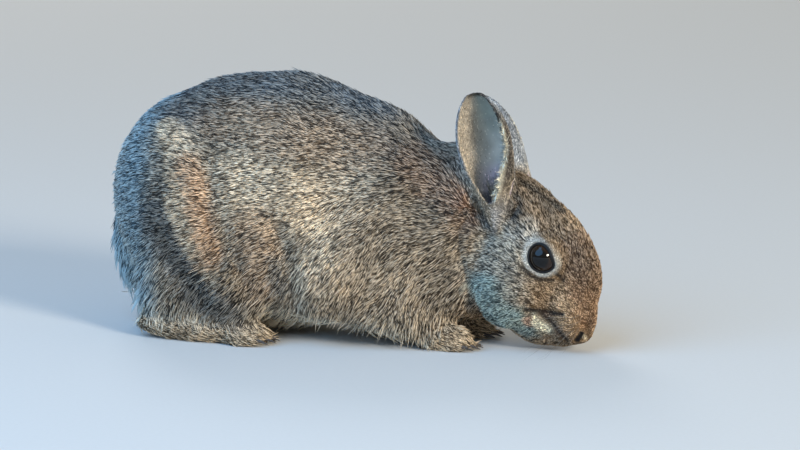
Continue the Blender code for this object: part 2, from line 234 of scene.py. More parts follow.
def distance_to_path(points, path):
    """Distance from each point to a chain of straight lengths."""
    best = np.full(len(points), np.inf)
    path = np.array(path, float)
    for start, end in zip(path, path[1:]):
        run = end - start
        share = np.clip((points - start) @ run / (run @ run), 0.0, 1.0)
        best = np.minimum(best, np.linalg.norm(points - start - share[:, None] * run, axis=1))
    return best


def away_from(points, path):
    """Distance from a path. For the lines of the face it is measured as seen from the side."""
    if path not in FACE_LINES:
        return distance_to_path(points, path)
    away = distance_to_path(points * (1, 0, 1), np.array(path) * (1, 0, 1))
    middle_of_face = np.abs(points[:, 1]) < 5
    return away + 50.0 * middle_of_face


# ---------------------------------------------------------------- meshes as arrays

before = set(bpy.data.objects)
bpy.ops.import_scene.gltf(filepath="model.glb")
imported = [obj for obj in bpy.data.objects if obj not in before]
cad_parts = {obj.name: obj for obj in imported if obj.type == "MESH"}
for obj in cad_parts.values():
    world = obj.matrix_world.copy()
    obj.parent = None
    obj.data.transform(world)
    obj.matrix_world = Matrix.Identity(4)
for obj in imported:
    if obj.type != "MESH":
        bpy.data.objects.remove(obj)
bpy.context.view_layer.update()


def drawing_shift():
    """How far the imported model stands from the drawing, by the middle of the left eye."""
    low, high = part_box("eye_left")
    return (np.array(low) + np.array(high)) / 2 / MM - EYE


SHIFT = drawing_shift()


def read_mesh(mesh):
    """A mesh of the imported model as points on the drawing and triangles."""
    mesh.calc_loop_triangles()
    points = np.empty(len(mesh.vertices) * 3)
    mesh.vertices.foreach_get("co", points)
    faces = np.empty(len(mesh.loop_triangles) * 3, np.int32)
    mesh.loop_triangles.foreach_get("vertices", faces)
    return points.reshape(-1, 3) / MM - SHIFT, faces.reshape(-1, 3)


def make_mesh(name, points, faces):
    mesh = bpy.data.meshes.new(name)
    mesh.vertices.add(len(points))
    mesh.vertices.foreach_set("co", ((points + SHIFT) * MM).astype(np.float32).ravel())
    mesh.loops.add(faces.size)
    mesh.loops.foreach_set("vertex_index", faces.astype(np.int32).ravel())
    mesh.polygons.add(len(faces))
    mesh.polygons.foreach_set("loop_start", np.arange(0, faces.size, faces.shape[1], dtype=np.int32))
    mesh.update(calc_edges=True)
    mesh.shade_smooth()
    return mesh


def add_object(name, mesh, material=None):
    obj = bpy.data.objects.new(name, mesh)
    bpy.context.scene.collection.objects.link(obj)
    if material:
        mesh.materials.append(material)
    return obj


def set_values(mesh, name, values):
    """Stores one number or one colour for each point under a name."""
    if values.ndim == 1:
        mesh.attributes.new(name, "FLOAT", "POINT").data.foreach_set("value", values.astype(np.float32))
    else:
        colours = np.column_stack([values, np.ones(len(values))]).astype(np.float32)
        mesh.attributes.new(name, "FLOAT_COLOR", "POINT").data.foreach_set("color", colours.ravel())


def joined(shapes):
    """Several (points, faces) as one."""
    starts = np.cumsum([0] + [len(points) for points, _ in shapes])
    faces = [faces + start for (_, faces), start in zip(shapes, starts)]
    return np.concatenate([points for points, _ in shapes]), np.concatenate(faces)


def merged(points, faces):
    """Loose triangles with the corners that they share made one."""
    kept, index = np.unique(np.round(points, 3), axis=0, return_inverse=True)
    faces = index.reshape(-1)[faces]
    whole = (faces[:, 0] != faces[:, 1]) & (faces[:, 1] != faces[:, 2]) & (faces[:, 2] != faces[:, 0])
    return kept, faces[whole]


def ring_faces(rows, around):
    """Triangles between rows of points that each go round once."""
    faces = []
    for low in range(0, (rows - 1) * around, around):
        high = low + around
        for index in range(around):
            after = (index + 1) % around
            faces.append((low + index, high + index, high + after))
            faces.append((low + index, high + after, low + after))
    return faces


def ball(centre, radius, around=32, rows=18):
    """A closed sphere of triangles and its poles."""
    turns = np.arange(around) * 2 * math.pi / around
    rises = np.arange(1, rows) * math.pi / rows
    ring = np.stack([np.cos(turns), np.sin(turns), np.zeros(around)], axis=1)
    body = [ring * math.sin(rise) + (0, 0, math.cos(rise)) for rise in rises]
    points = np.concatenate([[(0, 0, 1)], *body, [(0, 0, -1)]]) * radius + centre
    faces = (np.array(ring_faces(rows - 1, around)) + 1).tolist()
    last = len(points) - 1
    for index in range(around):
        after = (index + 1) % around
        faces.append((0, 1 + index, 1 + after))
        faces.append((last, last - around + after, last - around + index))
    return points, np.array(faces)


def outward(points, faces):
    """The faces turned so that a closed shape points outwards."""
    corners = points[faces] - points.mean(axis=0)
    volume = np.einsum("ij,ij->i", corners[:, 0], np.cross(corners[:, 1], corners[:, 2])).sum()
    return faces if volume > 0 else faces[:, ::-1]


def tube(rings, close_ends=True):
    """A skin over rings of the same number of points, pointing outwards, as (points, faces)."""
    rings = np.asarray(rings)
    count, around = rings.shape[:2]
    points = rings.reshape(-1, 3)
    faces = ring_faces(count, around)
    if close_ends:
        points = np.concatenate([points, [rings[0].mean(axis=0), rings[-1].mean(axis=0)]])
        first, last, start = len(points) - 2, len(points) - 1, (count - 1) * around
        for index in range(around):
            after = (index + 1) % around
            faces.append((first, index, after))
            faces.append((last, start + after, start + index))
    return points, outward(points, np.array(faces))


class Surface:
    """A triangle mesh that knows which points are neighbours."""

    def __init__(self, points, faces):
        self.points, self.faces = points, faces
        sides = np.concatenate([faces[:, [0, 1]], faces[:, [1, 2]], faces[:, [2, 0]]])
        sides = np.unique(np.sort(sides, axis=1), axis=0)
        self.near = np.concatenate([sides[:, 0], sides[:, 1]])
        self.far = np.concatenate([sides[:, 1], sides[:, 0]])
        self.valence = np.maximum(np.bincount(self.near, minlength=len(points)), 1)

    def around(self, values):
        """The mean of each point's neighbours."""
        if values.ndim == 1:
            return np.bincount(self.near, values[self.far], len(values)) / self.valence
        return np.stack([self.around(column) for column in values.T], axis=1)

    def softened(self, values, rounds):
        for _ in range(rounds):
            values = values + (self.around(values) - values) * 0.5
        return values

    def smooth_shape(self, rounds, keep=0.0):
        """Smooths the points themselves without shrinking them. keep is 1 where they stay."""
        keep = np.reshape(keep, (-1, 1))
        for _ in range(rounds):
            for share in (0.5, -0.52):
                self.points = self.points + (self.around(self.points) - self.points) * share * (1 - keep)

    def normals(self):
        corners = [self.points[self.faces[:, index]] for index in range(3)]
        across = np.cross(corners[1] - corners[0], corners[2] - corners[0])
        total = np.zeros_like(self.points)
        for axis in range(3):
            for corner in range(3):
                total[:, axis] += np.bincount(self.faces[:, corner], across[:, axis], len(total))
        return unit(total)

    def face_areas(self):
        corners = [self.points[self.faces[:, index]] for index in range(3)]
        return np.linalg.norm(np.cross(corners[1] - corners[0], corners[2] - corners[0]), axis=1) / 2


# ---------------------------------------------------------------- ears


class Ear:
    """One ear: a sheet rolled round a spine, open on its outer side."""

    def __init__(self, tag):
        self.side = SIDES[tag]
        self.root, tip = (np.array(ends[tag], float) for ends in (EAR_ROOTS, EAR_TIPS))
        turn = math.radians(EAR_TURNS[tag])
        self.length = np.linalg.norm(tip - self.root)
        self.up = (tip - self.root) / self.length
        opening = np.array((math.sin(turn), self.side * math.cos(turn), 0.0))
        self.opening = unit(opening - self.up * (opening @ self.up))
        self.across = np.cross(self.up, self.opening)

    def half_width(self, along):
        rise = np.sin(np.minimum(along / EAR_WIDEST, 1.0) * math.pi / 2) ** 1.6
        swell = EAR_ROOT_HALF_WIDTH + (EAR_HALF_WIDTH - EAR_ROOT_HALF_WIDTH) * rise
        close = np.maximum(0.0, (along - EAR_WIDEST) / (1 - EAR_WIDEST))
        return swell * np.maximum(0.0, 1.0 - close**1.9) ** 0.62 + 0.5

    def curl(self, along):
        unrolled = np.clip((along - EAR_NOTCH) / 0.4, 0.0, 1.0) ** 0.8
        return np.radians(178 - 62 * unrolled - 70 * np.maximum(0.0, along - 0.65))

    def radius(self, along):
        return self.half_width(along) / np.sin(np.minimum(self.curl(along), math.pi / 2))

    def spine(self, along):
        along = np.asarray(along, float)[..., None]
        bow = EAR_BOW * np.sin(math.pi * along)
        return self.root + self.up * (self.length * along) - self.opening * bow

    def place(self, along, share, lift=0.0):
        """A point of the sheet: share goes across it from -1 to 1, and lift is out from its back."""
        along, share = np.broadcast_arrays(np.asarray(along, float), np.asarray(share, float))
        angle = (self.curl(along) * share)[..., None]
        reach = (self.radius(along) + lift)[..., None]
        return self.spine(along) + self.across * reach * np.sin(angle) - self.opening * reach * np.cos(angle)

    def shell(self, thick, reach=1.0, rows=60, columns=36):
        """The closed ear as (points, faces), up to a share of its length and width."""
        along = (1 - (1 - np.linspace(0, 1, rows)) ** 1.7)[:, None] * reach
        share = np.linspace(-reach, reach, columns)
        back = self.place(along, share, thick / 2)
        front = self.place(along, share[::-1], -thick / 2)
        rings = np.concatenate([back, front], axis=1)
        points = rings.reshape(-1, 3)
        across = 2 * columns
        faces = ring_faces(rows, across)
        for start, order in ((0, 1), ((rows - 1) * across, -1)):
            for index in range(columns - 1):
                a, b = start + index, start + index + 1
                c, d = start + across - 2 - index, start + across - 1 - index
                faces.append((a, b, c)[::order])
                faces.append((a, c, d)[::order])
        return points, np.array(faces)

    def coordinates(self, points):
        """(along, share, lift) of points near the ear."""
        along = np.clip((points - self.root) @ self.up / self.length, -0.2, 1.0)
        clipped = np.clip(along, 0.0, 1.0)
        off = points - self.spine(clipped)
        across, behind = off @ self.across, -(off @ self.opening)
        share = np.arctan2(across, behind) / self.curl(clipped)
        return along, share, np.hypot(across, behind) - self.radius(clipped)

    def front(self, share):
        """1 at the edge nearest the face, -1 at the edge behind."""
        return -share * self.side

    def owns(self, skin):
        return skin.is_ear & (skin.ear_side == self.side)


EARS = {tag: Ear(tag) for tag in SIDES}


# ---------------------------------------------------------------- the skin


def toe_places(foot, side):
    """Middle of each toe tip of one foot, from the inside out."""
    tip, y_mid, spread, radius = TOES[foot]
    for index in range(4):
        across = index - 1.5
        x = tip - radius - TOE_STAGGER * across * across
        yield np.array((x, side * (y_mid + spread * across), radius - TOE_FLAT))


def claw_roots():
    """(foot, root, yaw) of all sixteen claws."""
    for foot, (_, _, _, radius) in TOES.items():
        for side in SIDES.values():
            for index, place in enumerate(toe_places(foot, side)):
                root = place + (radius - CLAW_SINK, 0, CLAW_RISE)
                yield foot, root, side * math.radians(TOE_SPLAY) * (index - 1.5)


def flesh_solids():
    """The solids of flesh as {name: (points, faces)}."""
    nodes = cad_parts.items()
    return {name: merged(*read_mesh(node.data)) for name, node in nodes if not name.startswith("eye")}


def one_surface(shapes, voxel):
    """Closed shapes that overlap, as one closed surface of even grain."""
    obj = add_object("flesh", make_mesh("flesh", *joined(shapes)))
    remesh = obj.modifiers.new("one surface", "REMESH")
    remesh.mode = "VOXEL"
    remesh.voxel_size = voxel * MM
    graph = bpy.context.evaluated_depsgraph_get()
    mesh = bpy.data.meshes.new_from_object(obj.evaluated_get(graph), depsgraph=graph)
    points, faces = read_mesh(mesh)
    bpy.data.objects.remove(obj)
    bpy.data.meshes.remove(mesh)
    return points, faces


def without_claws(points):
    """Draws the stumps of the claws back to the round ends of the toes."""
    points = points.copy()
    for foot, root, yaw in claw_roots():
        ahead = np.array((math.cos(yaw), math.sin(yaw), 0.0))
        off = points - root
        along = off @ ahead
        away = np.linalg.norm(off - along[:, None] * ahead, axis=1)
        radius = TOES[foot][3]
        stump = (along > CLAW_SINK) & (along < CLAW_LENGTH + 2) & (away < 3.2)
        middle = root - (radius - CLAW_SINK, 0, CLAW_RISE)
        points[stump] = middle + unit(points[stump] - middle) * radius
    return points


def finer(points, faces, wanted):
    """Splits the triangles round the wanted points in four."""
    work = bmesh.new()
    verts = [work.verts.new(point) for point in points]
    for face in faces:
        work.faces.new([verts[index] for index in face])
    work.verts.index_update()
    edges = [edge for edge in work.edges if wanted[edge.verts[0].index] and wanted[edge.verts[1].index]]
    bmesh.ops.subdivide_edges(work, edges=edges, cuts=1, use_grid_fill=True)
    bmesh.ops.triangulate(work, faces=work.faces[:])
    work.verts.index_update()
    points = np.array([vert.co for vert in work.verts])
    faces = np.array([[vert.index for vert in face.verts] for face in work.faces])
    work.free()
    return points, faces


def nearest_solid(points, solids):
    """(index in REGIONS, side) of the solid that each point lies nearest to. The side is 0 in the middle."""
    owner = np.concatenate([[index] * len(faces) for index, (_, faces) in enumerate(solids.values())])
    corners, faces = joined(list(solids.values()))
    tree = BVHTree.FromPolygons(corners.tolist(), faces.tolist())
    found = owner[[tree.find_nearest(point)[2] for point in points.tolist()]]
    regions = [REGIONS.index(name.removesuffix("_right").removesuffix("_left")) for name in solids]
    sides = [SIDES.get(name.rpartition("_")[2], 0) for name in solids]
    return np.array(regions)[found], np.array(sides)[found]


def share_of(weights, *names):
    """How much of each point belongs to the named regions."""
    return weights[:, [REGIONS.index(name) for name in names]].sum(axis=1)


def by_region(weights, column):
    """A value of the coat that goes smoothly from region to region."""
    return weights @ np.array([float(row[column]) for row in COAT.values()])


def head_place(points):
    """(share of the way from nose to crown, distance behind the line of the face) on the head."""
    run = CROWN - NOSE
    length = np.linalg.norm(run)
    back = np.array((run[2], 0, -run[0])) / length
    off = points - NOSE
    return off @ run / length**2, -(off @ back)


class Skin(Surface):
    """The skin with all that the coat needs to know at each point."""

    def __init__(self, points, faces, solids):
        super().__init__(points, faces)
        region, side = nearest_solid(points, solids)
        ear = REGIONS.index("ear")
        for one in EARS.values():
            along, _, lift = one.coordinates(points)
            hollow = (lift < -0.3) & (along > EAR_FLOOR) & (along < EAR_DEEP)
            region[hollow], side[hollow] = ear, one.side
        self.weights = self.softened(np.eye(len(REGIONS))[region], REGION_ROUNDS)
        self.is_ear = region == ear
        self.ear_side = np.sign(self.softened((side * self.is_ear).astype(float), EAR_SIDE_ROUNDS))
        self.ear_side[self.is_ear] = side[self.is_ear]

    def sink(self, depth):
        """Moves each point in by its depth."""
        self.points = self.points - self.normals() * depth[:, None]


def eye_axes(side):
    """(centre, look, towards the front corner, up and forward across that) of one eye."""
    mirror = np.array((1, side, 1))
    look = unit(np.array(EYE_LOOK) * mirror)
    corner = np.array(EYE_CORNER)
    corner = unit(corner - look * (corner @ look))
    return EYE * mirror, look, corner, np.cross(corner, look) * side


def eye_place(points, side):
    """(height over the middle of the eye, distance from its axis, turn up from the front corner)."""
    centre, look, corner, rise = eye_axes(side)
    off = points - centre
    across, up = off @ corner, off @ rise
    return off @ look, np.hypot(across, up), np.arctan2(up, across)


def lid_opening(turn):
    """Radius of the opening between the lids: an upright oval, drawn out at its two corners."""
    front = np.maximum(np.cos(turn), 0.0) ** 10
    rear = np.maximum(-np.cos(turn), 0.0) ** 6
    radius, varies, short_way = EYE_OVAL
    oval = radius - varies * np.cos(2 * (turn - short_way))
    return oval + LID_CORNERS[0] * front + LID_CORNERS[1] * rear


def round_eyes(points):
    """For each eye: how far past the edge of its lids a place is, its turn, whether it is on that side."""
    for side in SIDES.values():
        _, away, turn = eye_place(points, side)
        yield away - lid_opening(turn), turn, points[:, 1] * side > 2


def ball_height(away):
    return np.sqrt(np.maximum(EYE_RADIUS**2 - away**2, 0.0))


def shape_lids(points):
    """Lays the skin round each eye up to the edge of its lids, and down behind the ball."""
    points = points.copy()
    for side in SIDES.values():
        _, look, _, _ = eye_axes(side)
        height, away, turn = eye_place(points, side)
        near = (away < 17) & (height > -4) & (points[:, 1] * side > 2)
        opening = lid_opening(turn)
        past = away - opening
        behind = ball_height(np.minimum(away, EYE_RADIUS)) - LID_BEHIND
        rim = ball_height(opening) + LID_CREST - 0.02 * past**2
        wanted = behind + (rim - behind) * smooth_step(-0.5, 0.7, past)
        moved = (wanted - height) * smooth_step(6.5, 1.6, past)
        points[near] += (moved[:, None] * look)[near]
    return points


def shape_folds(skin):
    """Nostrils, mouth, the fold under the eye and the furrows of the body, pressed into the skin."""
    inward = -skin.normals()
    place = folded(skin.points)
    for path, width, depth, *_ in FACE_FOLDS + BODY_FOLDS:
        away = away_from(place, path)
        skin.points = skin.points + inward * (depth * np.exp(-((away / width) ** 2)))[:, None]
    x, y, z = skin.points.T
    cleft = np.exp(-((y / 0.9) ** 2)) * smooth_step(13.5, 9.0, z) * smooth_step(128, 134, x)
    skin.points = skin.points + inward * (1.6 * cleft)[:, None]


def hollow_ears(skin):
    """Opens the root of each ear down to the floor of its hollow."""
    for ear in EARS.values():
        along, _, lift = ear.coordinates(skin.points)
        mine = ear.owns(skin) & (along > EAR_FLOOR) & (along < EAR_DEEP)
        floor = smooth_step(-1.0, -2.6, lift) * mine * smooth_step(EAR_DEEP, 0.36, along)
        skin.points = skin.points - ear.up * (ear.length * (along - EAR_FLOOR) * floor)[:, None]


def settle_ears(skin):
    """Brings the skin of the ears onto their thin smooth shells."""
    for ear in EARS.values():
        corners, faces = ear.shell(EAR_SKIN_THICK, EAR_SKIN_REACH)
        tree = BVHTree.FromPolygons(corners.tolist(), faces.tolist())
        along, _, _ = ear.coordinates(skin.points)
        for index in np.flatnonzero(ear.owns(skin) & (along > 0.05)):
            place, _, _, away = tree.find_nearest(skin.points[index])
            if away < 3.0:
                hold = float(smooth_step(0.05, 0.2, along[index]))
                skin.points[index] += (np.array(place) - skin.points[index]) * hold


def smooth_body(skin):
    """Takes the furrows between the solids out of the body, and keeps its girth."""
    hold = smooth_step(0.5, 0.95, share_of(skin.weights, *BODY)) * smooth_step(20, 40, skin.points[:, 2])
    soft = skin.softened(skin.points, BODY_ROUNDS)
    shrunk = np.sum((skin.points - soft) * skin.normals(), axis=1)
    soft = soft + skin.normals() * skin.softened(shrunk, BODY_ROUNDS)[:, None]
    skin.points = skin.points + (soft - skin.points) * hold[:, None]


def raw_flesh(solids):
    """The solids of flesh, the ears and the eyeballs as one surface, with a finer grain on the face."""
    eyes = [EYE * (1, side, 1) for side in SIDES.values()]
    grown = []
    for name, (points, faces) in solids.items():
        if not name.startswith("ear"):
            grown.append((points + Surface(points, faces).normals() * CUT_OVERLAP, faces))
    grown += [ear.shell(EAR_CORE_THICK) for ear in EARS.values()]
    grown += [ball(eye, EYE_RADIUS + 0.5) for eye in eyes]
    points, faces = one_surface(grown, SKIN_VOXEL)
    points = without_claws(points)
    fine = np.linalg.norm(points - NOSE, axis=1) < FINE_ROUND_NOSE
    for eye in eyes:
        fine |= np.linalg.norm(points - eye, axis=1) < FINE_ROUND_EYE
    return finer(points, faces, fine)


def sink_by_coat(skin, ears):
    """Moves the skin in by the depth of its coat. The ears are set on their shells instead."""
    depth = by_region(skin.weights, DEPTH)
    along_face, _ = head_place(skin.points)
    depth -= share_of(skin.weights, "head") * SNOUT_COAT_LESS * smooth_step(0.55, 0.0, along_face)
    depth = skin.softened(np.maximum(depth, 0.3), 6) * (1 - ears)
    for _ in range(4):
        skin.sink(depth / 4)
        skin.points = skin.points + (skin.around(skin.points) - skin.points) * 0.3 * (1 - ears)[:, None]


def build_skin():
    solids = flesh_solids()
    skin = Skin(*raw_flesh(solids), solids)
    ears = skin.softened(skin.is_ear.astype(float), 2)
    skin.smooth_shape(SKIN_ROUNDS, ears * 0.9)
    smooth_body(skin)
    sink_by_coat(skin, ears)
    hollow_ears(skin)
    settle_ears(skin)
    skin.points = shape_lids(skin.points)
    shape_folds(skin)
    skin.points[:, 2] = np.maximum(skin.points[:, 2], SKIN_LOWEST)
    return skin


# ---------------------------------------------------------------- lie of the coat


def body_lie(points):
    """Tailward along the back, and more and more downwards towards the belly."""
    height = points[:, 2]
    drop = np.interp(height, (8, 25, 45, 70, 95, 140), (75, 58, 36, 14, 4, 0))
    neck = smooth_step(35, 75, points[:, 0])
    drop = np.radians(drop - 42 * neck * smooth_step(55, 95, height) + 5 * ripple(points, 30, 5))
    return np.stack([-np.cos(drop), np.sign(points[:, 1]) * 0.08 + 0 * drop, -np.sin(drop)], axis=1)


def head_lie(points):
    """From the nose back over the face, level on the cheeks and down on the jaw."""
    _, behind = head_place(points)
    rise = np.radians(np.interp(behind, (-14, 0, 12, 26, 40), (57, 48, 22, -8, -30)))
    lie = np.stack([-np.cos(rise), np.sign(points[:, 1]) * 0.12, np.sin(rise)], axis=1)
    for side in SIDES.values():
        centre, look, _, _ = eye_axes(side)
        _, away, _ = eye_place(points, side)
        off = points - centre
        from_eye = unit(off - (off @ look)[:, None] * look)
        close = smooth_step(13.0, 7.5, away) * (points[:, 1] * side > 0)
        lie = lay(lie, from_eye, 0.75 * close)
    return lie


def ear_lie(points, ear_side):
    """Up the ear and out towards its edges."""
    lie = np.zeros_like(points)
    for ear in EARS.values():
        mine = ear_side == ear.side
        along, share, _ = ear.coordinates(points)
        angle = share * ear.curl(np.clip(along, 0, 1))
        outwards = ear.across * np.cos(angle)[:, None] + ear.opening * np.sin(angle)[:, None]
        fringe = smooth_step(0.85, 0.93, ear.front(share))
        reach = np.clip(share, -1, 1) * (0.35 + 1.6 * fringe)
        lie[mine] = (ear.up * (1 - 0.4 * fringe)[:, None] + outwards * reach[:, None])[mine]
    return lie


def lie_field(skin):
    """The way the coat lies at each point of the skin."""
    points = skin.points
    flows = dict.fromkeys(BODY, body_lie(points))
    flows["foreleg"] = body_lie(points) * (0.7, 1, 1.0) + (0, 0, -0.2)
    flows["head"] = head_lie(points)
    flows["ear"] = ear_lie(points, skin.ear_side)
    flows["tail"] = np.tile((-0.25, 0.0, -0.9), (len(points), 1)) + points * (0, 0.015, 0)
    flows["hind_foot"] = flows["fore_foot"] = np.tile((1.0, 0.0, -0.12), (len(points), 1))
    normals = skin.normals()
    total = np.zeros_like(points)
    for name, flow in flows.items():
        total += unit(flat_to(flow, normals)) * share_of(skin.weights, name)[:, None]
    total = skin.softened(total, LIE_ROUNDS)
    return unit(flat_to(total, normals))


# ---------------------------------------------------------------- markings, painted light and shade

GREY_BROWN = linear(124, 110, 92)
# slate: the darker fur of the back, also laid as painted shade; the rump's grey below holds painted bluish
# shade
SLATE_AND_SHADE = linear(47, 64, 78)
RUMP_GREY_AND_SHADE = linear(98, 128, 142)
BUFF = linear(178, 158, 132)
WARM_BROWN = linear(170, 130, 94)
SHADE = linear(60, 66, 68)
RUFOUS = linear(132, 94, 68)
ORANGE = linear(205, 140, 86)
PALE_BELLY = linear(168, 162, 148)
HEAD_BROWN = linear(134, 108, 78)
RUST = linear(122, 86, 56)
DARK_RUST = linear(92, 66, 44)
PINK_BROWN = linear(176, 136, 112)
CHEEK_GREY = linear(126, 123, 112)
JAW_GREY = linear(115, 137, 134)
CREAM = linear(212, 202, 174)
EYE_RING = linear(222, 220, 210)
# near black painted shade, in the openings of the nostrils and at the bottom of each ear's hollow
DEEP_SHADE = linear(30, 22, 20)
NOSTRIL_SHADE = DEEP_SHADE * 0.5
EAR_BACK = linear(158, 168, 180)
EAR_FRONT = linear(154, 138, 114)
EAR_DARK = linear(66, 56, 46)
EAR_TAN = linear(178, 166, 150)
EAR_BARE = linear(188, 188, 180)
EAR_SHADOW = linear(138, 150, 146)
EAR_LILAC = linear(190, 176, 192)
EAR_WHITE = linear(214, 208, 188)
# near black: the black fur of the ear rims and small flecks, and painted shade in the creases and folds
BLACK_FUR_AND_CREASE_SHADE = linear(34, 30, 28)
TAIL_DARK = linear(66, 62, 58)
TAIL_WHITE = linear(238, 236, 230)
FOOT_BUFF = linear(142, 125, 102)

# Marks laid over the ground colour in turn, among them painted light and shade: colour, strength, path of
# its middle, half width
MARKS = (
    # flank and haunch, with painted light along the crest of the thigh and painted shade in the hollow under
    # it
    (BUFF, 0.65, ((-40, 50, 88), (-14, 47, 86), (6, 41, 90)), 26),
    (WARM_BROWN, 0.3, ((-36, 49, 66), (-34, 49, 40)), 15),
    # painted light on the crest of the thigh, over its own warm brown
    (BUFF, 0.85, ((-91, 41, 118), (-80, 49, 108), (-79, 53, 98)), 8),
    (BUFF, 0.75, ((-79, 55, 90), (-77, 57, 74), (-69, 57, 56), (-62, 56, 44)), 9),
    (WARM_BROWN, 0.3, ((-60, 33, 122), (-30, 38, 118), (0, 30, 112), (20, 25, 105)), 17),
    (WARM_BROWN, 0.75, ((-74, 53, 98), (-68, 55, 88), (-66, 56, 74), (-63, 56, 62), (-60, 56, 50)), 8.5),
    (SHADE, 0.6, ((-92, 50, 102), (-90, 54, 88), (-89, 57, 70), (-78, 57, 52), (-66, 54, 32)), 4),
    # painted shade in the hollow under the thigh
    (SLATE_AND_SHADE, 0.55, ((-96, 55, 70), (-80, 55, 44), (-69, 53, 28), (-52, 52, 20)), 12),
    (SHADE, 0.9, ((-61, 52, 94), (-60, 54, 80), (-57, 55, 66), (-52, 54, 56), (-52, 54, 46)), 4),
    (SHADE, 0.8, ((-76, 55, 92), (-74, 56, 89)), 2.6),
    (SHADE, 0.7, ((-86, 55, 87), (-83, 56, 84)), 2.6),
    (SHADE, 0.75, ((-26, 47, 47), (-24, 45, 32)), 6),
    (BUFF, 0.45, ((0, 49, 46), (6, 48, 30)), 15),
    # nape and cheek, with painted shade in the crease between cheek and neck
    (RUFOUS, 0.65, ((48, 22, 102), (58, 22, 96), (70, 22, 90), (76, 20, 80)), 17),
    (RUFOUS, 0.8, ((74, 21, 82), (80, 20, 76)), 8),
    (SHADE, 0.85, CHEEK_CREASE, 4.5),
    # painted shade deep in the cheek's crease
    (BLACK_FUR_AND_CREASE_SHADE, 0.5, CHEEK_CREASE, 2.6),
    # face, from the forehead down to the chin
    (RUST, 0.6, ((134, 6, 56), (138, 4, 42), (138, 3, 22)), 13),
    (DARK_RUST, 0.5, ((128, 12, 58), (130, 12, 44), (132, 11, 36)), 7),
    (CHEEK_GREY, 0.85, ((94, 25, 60), (90, 25, 44), (90, 24, 34)), 20),
    (JAW_GREY, 0.9, ((84, 24, 34), (90, 22, 20), (104, 18, 14)), 12),
    (EYE_RING, 0.3, ((100, 22, 66), (108, 19, 68)), 7),
    (PINK_BROWN, 0.8, ((107.0, 17, 18.6), (108.0, 16, 17.8)), 4),
    (CREAM, 1.0, ((111.0, 14.6, 18.4), (113.5, 14.0, 15.0), (116.5, 13.4, 13.6)), 3.8),
    # painted shade in the fold of the mouth, along the lip and in the folds under and before the eye
    (BLACK_FUR_AND_CREASE_SHADE, 1.0, MOUTH, 1.2),
    (DARK_RUST, 0.7, ((114, 15, 22), (120, 13, 17), (126, 13, 9)), 3.5),
    (BLACK_FUR_AND_CREASE_SHADE, 0.75, LIP, 1.1),
    (BLACK_FUR_AND_CREASE_SHADE, 0.75, LOWER_LID_FOLD, 1.2),
    (BLACK_FUR_AND_CREASE_SHADE, 0.85, CORNER_FOLD, 1.0),
    (BLACK_FUR_AND_CREASE_SHADE, 0.6, ((97.6, 25, 46.6), (98.6, 25, 46.2)), 2.4),
    (BLACK_FUR_AND_CREASE_SHADE, 1.0, ((86.8, 24, 26.6), (87.2, 24, 26.2)), 1.5),
    (CREAM, 0.6, ((133.6, 9.8, 11.4), (136.4, 4.0, 7.4)), 2.0),
    # round the roots of the ears, with painted shade in their creases and in the fold of the crown
    (ORANGE, 0.8, ((77.0, 22.5, 76.4), (78.4, 22, 75.0)), 3.2),
    (EYE_RING, 0.6, ((76.8, 22, 84), (77.4, 22.4, 79.5)), 2.4),
    # painted shade in the creases round the ear roots and in the fold of the crown
    (BLACK_FUR_AND_CREASE_SHADE, 1.0, EAR_FRONT_CREASE, 4.4),
    (BLACK_FUR_AND_CREASE_SHADE, 0.9, EAR_REAR_CREASE, 3.0),
    (BLACK_FUR_AND_CREASE_SHADE, 0.8, CROWN_FOLD, 2.6),
)

